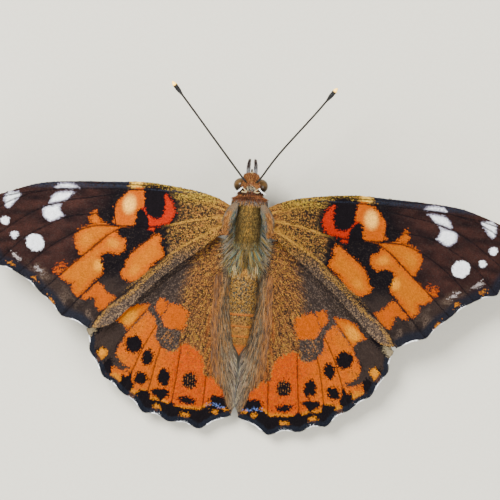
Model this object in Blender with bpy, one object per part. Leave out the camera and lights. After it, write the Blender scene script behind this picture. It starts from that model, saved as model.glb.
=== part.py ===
"""Painted lady butterfly at rest with its wings spread flat, at life size.

Sizes are in millimetres along the animal's own directions: out from the midline,
forward along the body, and up from the floor. `spot` turns them into metres, with
the head toward -Y and the animal's left wing toward +X.
"""
import math

import bmesh
import bpy
from mathutils import Vector
from mathutils.geometry import delaunay_2d_cdt

MM = 0.001
GAP = 0.33
TUBE_RESOLUTION = 2
TUBE_SMOOTH_ANGLE = 55.0
BODY_SMOOTH_ANGLE = 40.0
WING_SMOOTH_ANGLE = 60.0
PATH_DETAIL = 12
MERGE_DISTANCE = 1e-6
SIDES = {"l": 1.0, "r": -1.0}

# Middle of the whole animal's box, which is the origin of the model
MIDDLE_OUT = -0.498
MIDDLE_FORWARD = -0.97

# Body stations from front to back: forward, half width, half height, centre height
BODY_STATIONS = (
    (6.65, 1.85, 1.55, 5.60),
    (5.80, 2.20, 1.95, 5.55),
    (4.80, 2.38, 2.25, 5.50),
    (3.20, 2.46, 2.46, 5.48),
    (1.20, 2.44, 2.46, 5.42),
    (-0.80, 2.10, 2.20, 5.24),
    (-2.10, 1.62, 1.72, 4.95),
    (-4.00, 1.70, 1.70, 4.72),
    (-6.00, 1.64, 1.62, 4.42),
    (-8.00, 1.40, 1.42, 4.10),
    (-10.00, 1.12, 1.14, 3.78),
    (-11.60, 0.74, 0.76, 3.52),
    (-12.66, 0.22, 0.24, 3.36),
)
BODY_SIDES = 24
HEAD_BACK = 6.83
COLLAR_FRONT = 6.50
COLLAR_BACK = 5.86
THORAX_FRONT = 5.53
THORAX_BACK = -1.95
ABDOMEN_FRONT = -2.28
ABDOMEN_BACK = -12.66
ABDOMEN_RINGS = (-3.55, -4.95, -6.35, -7.75, -9.10, -10.30, -11.40)
RING_SWELL = 0.05
RING_PLACES = ((0.12, 0.0), (0.50, 0.7 * RING_SWELL), (0.90, RING_SWELL))
ABDOMEN_PINCH = -0.08
END_PINCH = -0.09

# Head and what it carries
HEAD_CENTRE = (0.0, 7.60, 5.85)
HEAD_RADII = (1.42, 1.26, 1.40)
EYE_CENTRE = (1.15, 7.65, 5.86)
EYE_RADII = (0.88, 0.83, 1.10)
EYE_FLAT = 1.05
SOCKET_FLAT = 0.72
PALP_ROOT = (0.46, 5.50)
PALP_BEND = (0.45, 9.80, 5.72)
PALP_TIP = (0.37, 10.80, 6.28)
PALP_RADIUS = 0.29
PALP_TAPER = 0.55
PALP_TAPER_POWER = 3
PALP_STEP = 0.3
ANTENNA_ROOT = (0.64, 8.08)
ANTENNA_TIP = {"l": (10.05, 19.1, 11.4), "r": (9.3, 19.65, 11.4)}
ANTENNA_BASE = 0.9
ANTENNA_BENDS = {
    "l": ((3.3, 3.8, 0.29), (6.5, 7.6, 0.68)),
    "r": ((2.45, 3.5, 0.26), (6.35, 8.45, 0.73)),
}
ANTENNA_STEP = 0.45
ANTENNA_RADIUS = 0.25
ANTENNA_CLUB = 0.37
ANTENNA_CLUB_START = 0.87
ANTENNA_CLUB_WIDEST = 0.45
ANTENNA_ROUNDING = 0.7
ANTENNA_BLUNTNESS = 0.4
PROBOSCIS_ROOT = (0.0, 4.85)
PROBOSCIS_CENTRE = (0.0, 8.98, 4.20)
PROBOSCIS_REACH = 0.71
PROBOSCIS_RADIUS = 0.20
PROBOSCIS_START = 105.0
PROBOSCIS_TURNS = 1.1
PROBOSCIS_SHRINK = 0.74
PROBOSCIS_STEPS = 24

# One smooth sheet sets the height of both wings: the forewing lies above it and
# the hindwing below, so that they overlap without touching
SHEET_HEIGHT = 5.62
SHEET_PITCH = 0.14
SHEET_RISE = 0.05
SHEET_DROOP = 0.0045
DROOP_START = 12.0
LAYER = 0.58
WING_HALF = 0.25
VEIN_HALF_WIDTH = 0.28
VEIN_HEIGHT = 0.15
VEIN_STEP = 1.5
VEIN_CLEARANCE = 0.8 * VEIN_HALF_WIDTH
EDGE_STEP = 1.4
MARGIN_STEP = 1.0
SCALLOP_STEPS = 6
FOREWING_ROOT_STEPS = 4
HINDWING_ROOT_STEPS = 14
MERGE_FLAT = 0.05

# The left forewing is swept back a little and its tip bends down more than the
# right one's, which shortens it in plan
WING_HINGE = (2.8, 4.6)
FOREWING_TURN = {"l": -0.55, "r": 0.55}
TIP_SHIFT = {"l": -0.30, "r": 0.30}
TIP_SHIFT_START = 17.0
TIP_SHIFT_SPAN = 12.0

FOREWING_COSTA = (
    (4.0, 6.15), (7.0, 7.0), (12.0, 7.5), (16.0, 7.2), (21.0, 6.95),
    (25.0, 6.45), (28.5, 5.3), (30.6, 4.5), (31.6, 3.9),
)
FOREWING_MARGIN = (
    (31.95, 3.2), (32.0, 1.5), (31.35, -1.2), (29.8, -3.6),
    (27.1, -4.5), (24.4, -6.55), (21.7, -9.2), (18.2, -10.55),
)
FOREWING_SCALLOPS = (0.05, 0.25, 0.22, 0.2, 0.2, 0.2, 0.2)
FOREWING_INNER = (
    (16.0, -9.9), (13.5, -7.5), (10.0, -3.95), (7.0, -1.5), (5.0, 0.1), (3.5, 1.5),
)
FOREWING_ROOT = (2.2, 4.9)

HINDWING_COSTA = (
    (4.0, 1.35), (6.5, 0.8), (9.5, -0.9), (13.4, -3.9), (16.6, -7.5),
)
HINDWING_MARGIN = (
    (18.35, -10.6), (17.75, -13.1), (15.95, -16.0), (13.55, -17.85),
    (10.9, -20.05), (7.85, -20.9), (4.1, -21.55), (0.55, -19.65),
)
HINDWING_SCALLOPS = (0.28, 0.12, 0.2, 0.34, 0.46, 0.44, 0.25)
HINDWING_INNER = ((0.30, -18.3), (0.19, -16.5), (0.20, -14.6), (0.38, -13.3))
HINDWING_ROOT_FRONT = 1.3
HINDWING_ROOT_BACK = -12.6

FOREWING_VEINS = {
    "subcosta": ((3.4, 5.2), (8.0, 6.55), (14.0, 6.85), (18.5, 6.75), (21.0, 6.95)),
    "radius": ((3.2, 4.7), (8.0, 5.95), (13.0, 6.3), (20.5, 5.98), (24.0, 5.6),
               (28.0, 4.3), (32.0, 1.5)),
    "radial_branch": ((24.0, 5.6), (28.5, 4.75), (31.95, 3.2)),
    "media_1": ((15.6, 5.7), (19.0, 5.05), (22.2, 4.4), (26.0, 2.75), (31.35, -1.2)),
    "media_2": ((16.1, 3.4), (19.5, 3.0), (22.0, 2.4), (26.4, -0.1), (29.8, -3.6)),
    "media_3": ((15.8, 1.9), (18.5, 1.7), (21.0, 0.6), (24.0, -1.5), (27.1, -4.5)),
    "cell_end": ((15.45, 6.2), (16.0, 4.9), (16.1, 3.4), (15.8, 1.9)),
    "cubitus": ((3.1, 4.0), (6.0, 3.2), (9.8, 2.2), (13.0, 1.95), (15.8, 1.9)),
    "cubital_1": ((13.0, 1.95), (15.8, 1.35), (19.0, -1.4), (24.4, -6.55)),
    "cubital_2": ((9.8, 2.2), (12.3, 0.1), (17.6, -4.7), (21.7, -9.2)),
    "anal": ((3.2, 2.9), (6.0, 0.9), (9.0, -1.1), (13.0, -4.8), (17.0, -8.5),
             (18.2, -10.55)),
}
HINDWING_VEINS = {
    "subcosta": ((3.4, 0.7), (8.0, -0.9), (12.5, -4.6), (16.0, -8.1), (18.35, -10.6)),
    "radial": ((3.4, 0.2), (7.0, -2.6), (10.5, -5.6), (16.0, -11.0), (17.75, -13.1)),
    "media_1": ((8.2, -3.6), (11.2, -7.8), (13.4, -10.6), (15.0, -13.4), (15.95, -16.0)),
    "media_2": ((9.5, -8.8), (11.2, -12.0), (12.6, -15.6), (13.55, -17.85)),
    "cell_front": ((3.2, -0.5), (6.2, -3.0), (8.3, -5.4), (9.5, -8.8)),
    "media_3": ((9.5, -8.8), (8.9, -10.6), (9.7, -13.8), (10.9, -20.05)),
    "cubitus": ((2.9, -1.3), (4.3, -4.5), (6.0, -7.6), (7.0, -9.4), (8.9, -10.6)),
    "cubital_1": ((7.0, -9.4), (6.9, -12.2), (7.3, -16.5), (7.85, -20.9)),
    "cubital_2": ((4.3, -4.5), (3.9, -10.0), (3.7, -15.5), (4.1, -21.55)),
    "anal": ((2.6, -2.6), (2.7, -7.0), (2.1, -12.0), (1.4, -17.0), (1.7, -20.1)),
}

TEGULA_OUTLINE = (
    (1.25, 5.45), (1.75, 5.55), (2.35, 5.15), (2.78, 4.40), (2.92, 3.50), (2.78, 2.60),
    (2.40, 1.95), (2.08, 2.45), (1.85, 3.30), (1.58, 4.15), (1.28, 4.85),
)
TEGULA_CREST = ((1.60, 5.20), (2.10, 4.50), (2.38, 3.60), (2.42, 2.60))
TEGULA_MIDDLE = (2.15, 3.90)
TEGULA_BLEND = 0.4
TEGULA_RIM = 0.36
TEGULA_SWELL = 0.34
TEGULA_SLOPE = 0.8
TEGULA_INNER_RING = 0.42
TEGULA_STEP = 0.4
TEGULA_CREST_STEP = 0.5

# Legs: the root on the underside of the body as out and forward, then the knee, the
# ankle and the toe as out, forward and up
LEG_ROOTS = {"midleg": (1.15, 1.70), "hindleg": (1.05, -0.70)}
LEG_JOINTS = {
    "midleg": ((4.90, 3.10, 4.05), (7.10, 4.30, 0.62), (9.40, 5.25, 0.24)),
    "hindleg": ((4.10, -4.00, 3.10), (5.60, -7.40, 0.60), (6.60, -10.30, 0.24)),
}
LEG_PIECES = ("femur", "tibia", "tarsus")
LEG_RADII = ((0.40, 0.42, 0.36, 0.28), (0.27, 0.32, 0.30, 0.27), (0.26, 0.27, 0.26, 0.25))
LEG_OVERRUN = 0.6
LEG_STEPS = 8
TOE_FALL = 2.2
FORELEG_ROOT = (0.95, 5.45)
FORELEG_PATH = ((1.20, 6.20, 3.10), (1.32, 6.95, 2.85), (1.15, 7.80, 3.00), (0.92, 8.45, 3.40))
FORELEG_RADII = (0.28, 0.34, 0.30, 0.24)
FORELEG_STEPS = 4

# Name: colour, roughness
MATERIALS = {
    "wing": ((0.80, 0.25, 0.04), 0.75),
    "hindwing": ((0.62, 0.20, 0.05), 0.75),
    "fur": ((0.22, 0.15, 0.08), 0.90),
    "collar": ((0.30, 0.12, 0.05), 0.90),
    "tegula": ((0.42, 0.26, 0.14), 0.85),
    "abdomen": ((0.28, 0.16, 0.07), 0.85),
    "eye": ((0.25, 0.13, 0.04), 0.25),
    "leg": ((0.30, 0.20, 0.12), 0.60),
    "antenna": ((0.06, 0.05, 0.04), 0.50),
}


def spot(side, out, forward, up):
    """A point of the animal in metres, in the model's own axes."""
    x = SIDES[side] * out - MIDDLE_OUT
    y = MIDDLE_FORWARD - forward
    return Vector((x, y, up)) * MM


def smooth_path(points, steps):
    """Catmull-Rom curve through the points, with `steps` stretches between each pair."""
    rows = [Vector(p) for p in points]
    rows = [2 * rows[0] - rows[1]] + rows + [2 * rows[-1] - rows[-2]]
    path = []
    for i in range(1, len(rows) - 2):
        before, start, end, after = rows[i - 1:i + 3]
        for k in range(steps):
            t = k / steps
            curve = (2 * start + (end - before) * t
                     + (2 * before - 5 * start + 4 * end - after) * t ** 2
                     + (3 * start - before - 3 * end + after) * t ** 3)
            path.append(curve / 2)
    path.append(rows[-2])
    return path


def even_path(points, step):
    """The smooth curve through the points, cut into stretches of about `step`."""
    fine = smooth_path(points, PATH_DETAIL)
    lengths = [0.0]
    for a, b in zip(fine, fine[1:]):
        lengths.append(lengths[-1] + (b - a).length)
    count = max(2, round(lengths[-1] / step))
    path = []
    i = 0
    for k in range(count + 1):
        target = lengths[-1] * k / count
        while i < len(fine) - 2 and lengths[i + 1] < target:
            i += 1
        share = (target - lengths[i]) / (lengths[i + 1] - lengths[i])
        path.append(fine[i].lerp(fine[i + 1], min(1.0, share)))
    return path


def body_section(forward):
    """Half width, half height and centre height of the body at a place along it."""
    rows = BODY_STATIONS
    i = 0
    while i < len(rows) - 2 and forward < rows[i + 1][0]:
        i += 1
    start, end = rows[i], rows[i + 1]
    before = rows[max(0, i - 1)]
    after = rows[min(len(rows) - 1, i + 2)]
    span = end[0] - start[0]
    t = min(1.0, max(0.0, (forward - start[0]) / span))
    section = []
    for k in (1, 2, 3):
        slope_in = (end[k] - before[k]) / (end[0] - before[0]) * span
        slope_out = (after[k] - start[k]) / (after[0] - start[0]) * span
        value = ((2 * t ** 3 - 3 * t ** 2 + 1) * start[k]
                 + (t ** 3 - 2 * t ** 2 + t) * slope_in
                 + (3 * t ** 2 - 2 * t ** 3) * end[k]
                 + (t ** 3 - t ** 2) * slope_out)
        section.append(value)
    return section


def body_side(forward, up, margin):
    """How far out the body's side is at a height, with a margin all round it."""
    half_width, half_height, centre = body_section(forward)
    level = (up - centre) / (half_height + margin)
    return (half_width + margin) * math.sqrt(max(0.0, 1.0 - level ** 2))


def body_top(out, forward, margin):
    """Height of the body's back at a distance from the midline, with a margin."""
    half_width, half_height, centre = body_section(forward)
    share = min(1.0, out / (half_width + margin))
    return centre + (half_height + margin) * math.sqrt(1.0 - share ** 2)


def sheet_height(out, forward):
    """Height of the sheet that both wings follow."""
    droop = SHEET_DROOP * max(0.0, out - DROOP_START) ** 2
    return SHEET_HEIGHT + SHEET_PITCH * (forward - 1.0) + SHEET_RISE * (out - 3.0) - droop


def body_normal(out, forward, up):
    """Direction straight out of the body's surface, across its length."""
    half_width, half_height, centre = body_section(forward)
    return Vector((out / half_width ** 2, 0.0, (up - centre) / half_height ** 2)).normalized()


def body_underside(out, forward):
    """Point of the body's underside at a distance from the midline."""
    centre = body_section(forward)[2]
    return Vector((out, forward, 2 * centre - body_top(out, forward, 0.0)))


def head_surface(out, forward=None, up=None):
    """Point of the head where two of its three coordinates are given, and its normal."""
    given = [(out, 0), (forward, 1), (up, 2)]
    rest = sum(((v - HEAD_CENTRE[k]) / HEAD_RADII[k]) ** 2 for v, k in given if v is not None)
    free = [k for v, k in given if v is None][0]
    point = Vector([HEAD_CENTRE[k] if v is None else v for v, k in given])
    point[free] += HEAD_RADII[free] * math.sqrt(1.0 - rest)
    normal = [(point[k] - HEAD_CENTRE[k]) / HEAD_RADII[k] ** 2 for k in range(3)]
    return point, Vector(normal).normalized()


def forewing_middle(out, forward):
    return sheet_height(out, forward) + LAYER


def hindwing_middle(out, forward):
    return sheet_height(out, forward) - LAYER


def make_material(name):
    colour, roughness = MATERIALS[name]
    material = bpy.data.materials.new(name)
    material.use_nodes = True
    shader = material.node_tree.nodes["Principled BSDF"]
    shader.inputs["Base Color"].default_value = (*colour, 1.0)
    shader.inputs["Roughness"].default_value = roughness
    shader.inputs["Metallic"].default_value = 0.0
    return material


def add_object(name, data, material, collection):
    """An object with the part's name, its own material and a place in the collection."""
    thing = bpy.data.objects.new(name, data)
    data.materials.append(make_material(material))
    collection.objects.link(thing)
    return thing


def finish_mesh(name, bm, material, collection, smooth_angle=BODY_SMOOTH_ANGLE):
    """Turn a bmesh into a named object, shaded smooth except at its sharp edges."""
    bmesh.ops.recalc_face_normals(bm, faces=bm.faces)
    mesh = bpy.data.meshes.new(name)
    bm.to_mesh(mesh)
    bm.free()
    mesh.shade_smooth()
    mesh.set_sharp_from_angle(angle=math.radians(smooth_angle))
    return add_object(name, mesh, material, collection)


def body_ring(forward, swell):
    """One cross-section of the body, as a ring of points."""
    half_width, half_height, centre = body_section(forward)
    ring = []
    for k in range(BODY_SIDES):
        angle = 2 * math.pi * k / BODY_SIDES
        out = half_width * (1 + swell) * math.cos(angle)
        up = centre + half_height * (1 + swell) * math.sin(angle)
        ring.append(spot("l", out, forward, up))
    return ring


def body_length(name, stations, material, collection):
    """A length of the body: rings at the stations, each a place and a swell, and two ends."""
    bm = bmesh.new()
    rings = []
    for forward, swell in stations:
        rings.append([bm.verts.new(p) for p in body_ring(forward, swell)])
    for a, b in zip(rings, rings[1:]):
        for k in range(BODY_SIDES):
            n = (k + 1) % BODY_SIDES
            bm.faces.new((a[k], a[n], b[n], b[k]))
    bm.faces.new(rings[0])
    bm.faces.new(rings[-1])
    return finish_mesh(name, bm, material, collection)


def rounded_stations(front, back, count):
    """Stations closer together at the two ends, which are drawn in a little."""
    stations = []
    for k in range(count + 1):
        share = 0.5 - 0.5 * math.cos(math.pi * k / count)
        pinch = END_PINCH if k in (0, count) else 0.0
        stations.append((front + (back - front) * share, pinch))
    return stations


def abdomen_stations():
    """Each abdominal segment swells toward its back edge and steps in to the next one."""
    edges = (ABDOMEN_FRONT,) + ABDOMEN_RINGS + (ABDOMEN_BACK,)
    stations = [(ABDOMEN_FRONT, ABDOMEN_PINCH)]
    for front, back in zip(edges, edges[1:]):
        for share, swell in RING_PLACES:
            stations.append((front + share * (back - front), swell))
    stations.append((ABDOMEN_BACK, 0.0))
    return stations


def build_body(collection):
    body_length("collar", rounded_stations(COLLAR_FRONT, COLLAR_BACK, 4), "collar", collection)
    body_length("thorax", rounded_stations(THORAX_FRONT, THORAX_BACK, 12), "fur", collection)
    body_length("abdomen", abdomen_stations(), "abdomen", collection)


def ellipsoid(centre, radii, side, segments=24, rings=16):
    """A bmesh ball stretched to three radii, out, forward and up, about a centre."""
    bm = bmesh.new()
    bmesh.ops.create_uvsphere(bm, u_segments=segments, v_segments=rings, radius=1.0)
    middle = spot(side, *centre)
    for vert in bm.verts:
        x, y, z = vert.co
        vert.co = middle + Vector((x * radii[0], y * radii[1], z * radii[2])) * MM
    return bm


def keep_beyond(bm, point, normal):
    """Cut a closed bmesh by a plane, keep the side the normal points to and close it."""
    geometry = bm.verts[:] + bm.edges[:] + bm.faces[:]
    cut = bmesh.ops.bisect_plane(bm, geom=geometry, dist=1e-7, plane_co=point,
                                 plane_no=normal, clear_inner=True)
    rim = [e for e in cut["geom_cut"] if isinstance(e, bmesh.types.BMEdge)]
    bmesh.ops.contextual_create(bm, geom=rim)


def eye_shape(side, grow, flat):
    """The domed eye, grown all round by a margin, with a flat inner face."""
    radii = [r + grow for r in EYE_RADII]
    bm = ellipsoid(EYE_CENTRE, radii, side)
    keep_beyond(bm, spot(side, flat, 0.0, 0.0), Vector((SIDES[side], 0.0, 0.0)))
    return bm


def build_head(collection, cutters):
    """The head with a socket for each eye, and the two domed eyes."""
    bm = ellipsoid(HEAD_CENTRE, HEAD_RADII, "l", 32, 20)
    keep_beyond(bm, spot("l", 0.0, HEAD_BACK, 0.0), Vector((0.0, -1.0, 0.0)))
    head = finish_mesh("head", bm, "fur", collection)
    for side in SIDES:
        finish_mesh(f"eye_{side}", eye_shape(side, 0.0, EYE_FLAT), "eye", collection)
        shape = eye_shape(side, GAP, SOCKET_FLAT)
        socket = finish_mesh(f"socket_cutter_{side}", shape, "eye", cutters)
        socket.hide_render = True
        socket.display_type = "WIRE"
        cut = head.modifiers.new(f"socket_{side}", "BOOLEAN")
        cut.operation = "DIFFERENCE"
        cut.solver = "EXACT"
        cut.object = socket


def tube(name, points, radii, cuts, material, collection):
    """A tapering round limb through points already in metres.

    Each cut is a point and a direction: the limb is kept on the side that the
    direction points to, and gets a flat face there.
    """
    data = bpy.data.curves.new(name, "CURVE")
    data.dimensions = "3D"
    data.bevel_depth = MM
    data.bevel_resolution = TUBE_RESOLUTION
    data.use_fill_caps = True
    spline = data.splines.new("POLY")
    spline.points.add(len(points) - 1)
    for place, point, radius in zip(spline.points, points, radii):
        place.co = (*point, 1.0)
        place.radius = radius
    guide = bpy.data.objects.new("guide", data)
    collection.objects.link(guide)
    graph = bpy.context.evaluated_depsgraph_get()
    mesh = bpy.data.meshes.new_from_object(guide.evaluated_get(graph))
    bm = bmesh.new()
    bm.from_mesh(mesh)
    bpy.data.objects.remove(guide)
    bpy.data.meshes.remove(mesh)
    bmesh.ops.remove_doubles(bm, verts=bm.verts, dist=MERGE_DISTANCE)
    for point, direction in cuts:
        keep_beyond(bm, point, direction)
    for vert in bm.verts:
        vert.co.z = max(0.0, vert.co.z)
    return finish_mesh(name, bm, material, collection, TUBE_SMOOTH_ANGLE)


def cut_face(side, point, direction):
    """A cut of a limb, from the animal's own directions to the model's."""
    return spot(side, *point), spot(side, *direction) - spot(side, 0.0, 0.0, 0.0)


def root_cut(side, point, normal):
    """The flat face of a limb at its root, a gap off the surface that it grows from."""
    return cut_face(side, point + normal * GAP, normal)


def spread_radii(radii, count):
    """Radii at `count` even places, read between the given ones."""
    found = []
    for k in range(count):
        place = k / (count - 1) * (len(radii) - 1)
        low = min(int(place), len(radii) - 2)
        found.append(radii[low] + (radii[low + 1] - radii[low]) * (place - low))
    return found


def antenna_radius(share):
    """Radius along the antenna: a slim shaft that widens to a club with a rounded tip."""
    if share < ANTENNA_CLUB_START:
        return ANTENNA_RADIUS
    t = (share - ANTENNA_CLUB_START) / (1.0 - ANTENNA_CLUB_START)
    swell = math.sin(math.pi / 2 * min(2.0, t / ANTENNA_CLUB_WIDEST))
    club = ANTENNA_RADIUS + (ANTENNA_CLUB - ANTENNA_RADIUS) * swell
    past = max(0.0, (t - ANTENNA_ROUNDING) / (1.0 - ANTENNA_ROUNDING))
    return club * max(ANTENNA_BLUNTNESS, math.sqrt(1.0 - past ** 2))


def build_antenna(side, collection):
    out, forward = ANTENNA_ROOT
    root, normal = head_surface(out, forward=forward)
    base = root + normal * ANTENNA_BASE
    tip = ANTENNA_TIP[side]
    rise = tip[2] - base.z
    bends = [(out + o, forward + f, base.z + share * rise) for o, f, share in ANTENNA_BENDS[side]]
    path = even_path((root, base, *bends, tip), ANTENNA_STEP)
    last = len(path) - 1
    radii = [antenna_radius(k / last) for k in range(last + 1)]
    points = [spot(side, *p) for p in path]
    tube(f"antenna_{side}", points, radii, [root_cut(side, root, normal)], "antenna", collection)


def build_palp(side, collection):
    root, normal = head_surface(PALP_ROOT[0], up=PALP_ROOT[1])
    path = even_path((root, PALP_BEND, PALP_TIP), PALP_STEP)
    last = len(path) - 1
    radii = [PALP_RADIUS * (1.0 - PALP_TAPER * (k / last) ** PALP_TAPER_POWER)
             for k in range(last + 1)]
    points = [spot(side, *p) for p in path]
    tube(f"palp_{side}", points, radii, [root_cut(side, root, normal)], "fur", collection)


def build_proboscis(collection):
    """The sucking tube under the palps, rolled up in the middle plane."""
    root, normal = head_surface(PROBOSCIS_ROOT[0], up=PROBOSCIS_ROOT[1])
    path = [root]
    for k in range(PROBOSCIS_STEPS + 1):
        share = k / PROBOSCIS_STEPS
        angle = math.radians(PROBOSCIS_START) - 2 * math.pi * PROBOSCIS_TURNS * share
        reach = PROBOSCIS_REACH * (1.0 - PROBOSCIS_SHRINK * share)
        forward = PROBOSCIS_CENTRE[1] + reach * math.cos(angle)
        up = PROBOSCIS_CENTRE[2] + reach * math.sin(angle)
        path.append(Vector((0.0, forward, up)))
    points = [spot("l", *p) for p in path]
    radii = [PROBOSCIS_RADIUS] * len(points)
    tube("proboscis", points, radii, [root_cut("l", root, normal)], "leg", collection)


def scalloped(ends, depths):
    """The outer margin: a shallow bay between each pair of vein ends."""
    margin = []
    for (a, b), depth in zip(zip(ends, ends[1:]), depths):
        start, end = Vector(a), Vector(b)
        along = end - start
        inward = Vector((along.y, -along.x)).normalized()
        for k in range(SCALLOP_STEPS):
            share = k / SCALLOP_STEPS
            bay = depth * math.sin(math.pi * share)
            margin.append(start + along * share + inward * bay)
    margin.append(Vector(ends[-1]))
    return margin


def forewing_outline():
    back, front = FOREWING_ROOT
    level = forewing_middle(FOREWING_COSTA[0][0], front) - WING_HALF - VEIN_HEIGHT
    root = []
    for k in range(FOREWING_ROOT_STEPS + 1):
        forward = back + (front - back) * k / FOREWING_ROOT_STEPS
        root.append(Vector((body_side(forward, level, GAP), forward)))
    outline = root[:-1]
    outline += even_path([root[-1], *FOREWING_COSTA, FOREWING_MARGIN[0]], EDGE_STEP)[:-1]
    outline += scalloped(FOREWING_MARGIN, FOREWING_SCALLOPS)[:-1]
    outline += even_path([FOREWING_MARGIN[-1], *FOREWING_INNER, root[0]], EDGE_STEP)[:-1]
    return outline


def hindwing_outline():
    root = []
    front, back = HINDWING_ROOT_FRONT, HINDWING_ROOT_BACK
    for k in range(HINDWING_ROOT_STEPS + 1):
        forward = back + (front - back) * k / HINDWING_ROOT_STEPS
        level = hindwing_middle(2.0, forward)
        swell = RING_SWELL * body_section(forward)[0] if forward < THORAX_BACK else 0.0
        root.append(Vector((body_side(forward, level, GAP + swell), forward)))
    outline = root[:-1]
    outline += even_path([root[-1], *HINDWING_COSTA, HINDWING_MARGIN[0]], EDGE_STEP)[:-1]
    outline += scalloped(HINDWING_MARGIN, HINDWING_SCALLOPS)[:-1]
    outline += even_path([HINDWING_MARGIN[-1], *HINDWING_INNER, root[0]], MARGIN_STEP)[:-1]
    return outline


def distance_to_path(point, path):
    """Shortest distance from a point to a line of points."""
    best = 1e9
    for a, b in zip(path, path[1:]):
        along = b - a
        share = (point - a).dot(along) / along.length_squared
        near = a + along * min(1.0, max(0.0, share))
        best = min(best, (point - near).length)
    return best


def inside(point, outline):
    """Whether a point lies inside a closed outline, by counting crossings."""
    crossings = 0
    for a, b in zip(outline, outline[1:] + outline[:1]):
        if (a.y > point.y) != (b.y > point.y):
            x = a.x + (point.y - a.y) * (b.x - a.x) / (b.y - a.y)
            crossings += x > point.x
    return crossings % 2 == 1


def vein_lines(paths, outline):
    """The crest of each vein and a foot line on both sides of it, kept off the rim."""
    rim = outline + outline[:1]
    lines = []
    for path in paths:
        rows = {-1: [], 0: [], 1: []}
        for k, point in enumerate(path):
            along = path[min(k + 1, len(path) - 1)] - path[max(k - 1, 0)]
            across = Vector((-along.y, along.x)).normalized() * VEIN_HALF_WIDTH
            for row in rows:
                rows[row].append(point + across * row)
        for row in rows.values():
            kept = [p for p in row
                    if inside(p, outline) and distance_to_path(p, rim) > VEIN_CLEARANCE]
            if len(kept) > 1:
                lines.append(kept)
    return lines


def split_flat(outline, lines):
    """Triangles of the flat outline whose edges follow the given lines."""
    points = list(outline)
    count = len(outline)
    edges = [(k, (k + 1) % count) for k in range(count)]
    for line in lines:
        first = len(points)
        points += line
        edges += [(first + k, first + k + 1) for k in range(len(line) - 1)]
    inside_only = 1
    result = delaunay_2d_cdt(points, edges, [], inside_only, MERGE_FLAT)
    return result[0], result[2]


def slab(name, outline, lines, top, bottom, settle, material, collection):
    """A closed slab over a flat outline, split into the same triangles on both faces.

    `top` and `bottom` give each face's height and `settle` turns a flat point and a
    height into a place in the model.
    """
    flat, triangles = split_flat(outline, lines)
    bm = bmesh.new()
    upper = [bm.verts.new(settle(p, top(p))) for p in flat]
    lower = [bm.verts.new(settle(p, bottom(p))) for p in flat]
    uses = {}
    for a, b, c in triangles:
        bm.faces.new((upper[a], upper[b], upper[c]))
        bm.faces.new((lower[c], lower[b], lower[a]))
        for edge in ((a, b), (b, c), (c, a)):
            key = tuple(sorted(edge))
            uses.setdefault(key, []).append(edge)
    for found in uses.values():
        if len(found) == 1:
            a, b = found[0]
            bm.faces.new((upper[a], lower[a], lower[b]))
            bm.faces.new((upper[a], lower[b], upper[b]))
    for vert in [v for v in bm.verts if not v.link_faces]:
        bm.verts.remove(vert)
    return finish_mesh(name, bm, material, collection, WING_SMOOTH_ANGLE)


def forewing_place(side, point, up):
    """Turn a forewing about its hinge and bend its tip as that side's wing lies."""
    turn = math.radians(FOREWING_TURN[side])
    out = point.x - WING_HINGE[0]
    forward = point.y - WING_HINGE[1]
    turned_out = WING_HINGE[0] + out * math.cos(turn) - forward * math.sin(turn)
    turned_forward = WING_HINGE[1] + out * math.sin(turn) + forward * math.cos(turn)
    beyond = max(0.0, turned_out - TIP_SHIFT_START) / TIP_SHIFT_SPAN
    return spot(side, turned_out + TIP_SHIFT[side] * beyond ** 2, turned_forward, up)


def build_wing(name, outline, veins, middle, settle, material, collection):
    """A membrane whose veins are ridges raised in both of its faces."""
    paths = [even_path(points, VEIN_STEP) for points in veins.values()]

    def half(point):
        near = min(distance_to_path(point, path) for path in paths)
        return WING_HALF + VEIN_HEIGHT * max(0.0, 1.0 - near / VEIN_HALF_WIDTH)

    def top(point):
        return middle(point.x, point.y) + half(point)

    def bottom(point):
        return middle(point.x, point.y) - half(point)

    lines = vein_lines(paths, outline)
    slab(name, outline, lines, top, bottom, settle, material, collection)


def build_wings(side, collection):
    def fore(point, up):
        return forewing_place(side, point, up)

    def hind(point, up):
        return spot(side, point.x, point.y, up)

    build_wing(f"forewing_{side}", forewing_outline(), FOREWING_VEINS,
               forewing_middle, fore, "wing", collection)
    build_wing(f"hindwing_{side}", hindwing_outline(), HINDWING_VEINS,
               hindwing_middle, hind, "hindwing", collection)


def build_tegula(side, collection):
    """The domed flap over the root of the forewing, lying on the thorax and the wing."""
    outline = even_path(TEGULA_OUTLINE + TEGULA_OUTLINE[:1], TEGULA_STEP)[:-1]
    rim = outline + outline[:1]

    def bottom(point):
        wing = forewing_middle(point.x, point.y) + WING_HALF + VEIN_HEIGHT + GAP
        body = body_top(point.x, point.y, GAP)
        return (wing + body + math.hypot(wing - body, TEGULA_BLEND)) / 2

    def top(point):
        inward = min(1.0, distance_to_path(point, rim) / TEGULA_SLOPE)
        return bottom(point) + TEGULA_RIM + TEGULA_SWELL * math.sin(math.pi / 2 * inward)

    def settle(point, up):
        return spot(side, point.x, point.y, up)

    inner = [p.lerp(Vector(TEGULA_MIDDLE), TEGULA_INNER_RING) for p in outline]
    lines = [inner + inner[:1], even_path(TEGULA_CREST, TEGULA_CREST_STEP)]
    slab(f"tegula_{side}", outline, lines, top, bottom, settle, "tegula", collection)


def joint_cut(side, before, joint, after, toward):
    """The flat face of a limb at a joint, half a gap off the plane that halves the bend.

    `toward` is 1 for the limb after the joint and -1 for the one before it.
    """
    bend = (joint - before).normalized() + (after - joint).normalized()
    direction = bend.normalized() * toward
    return cut_face(side, joint + direction * GAP / 2, direction)


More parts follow.
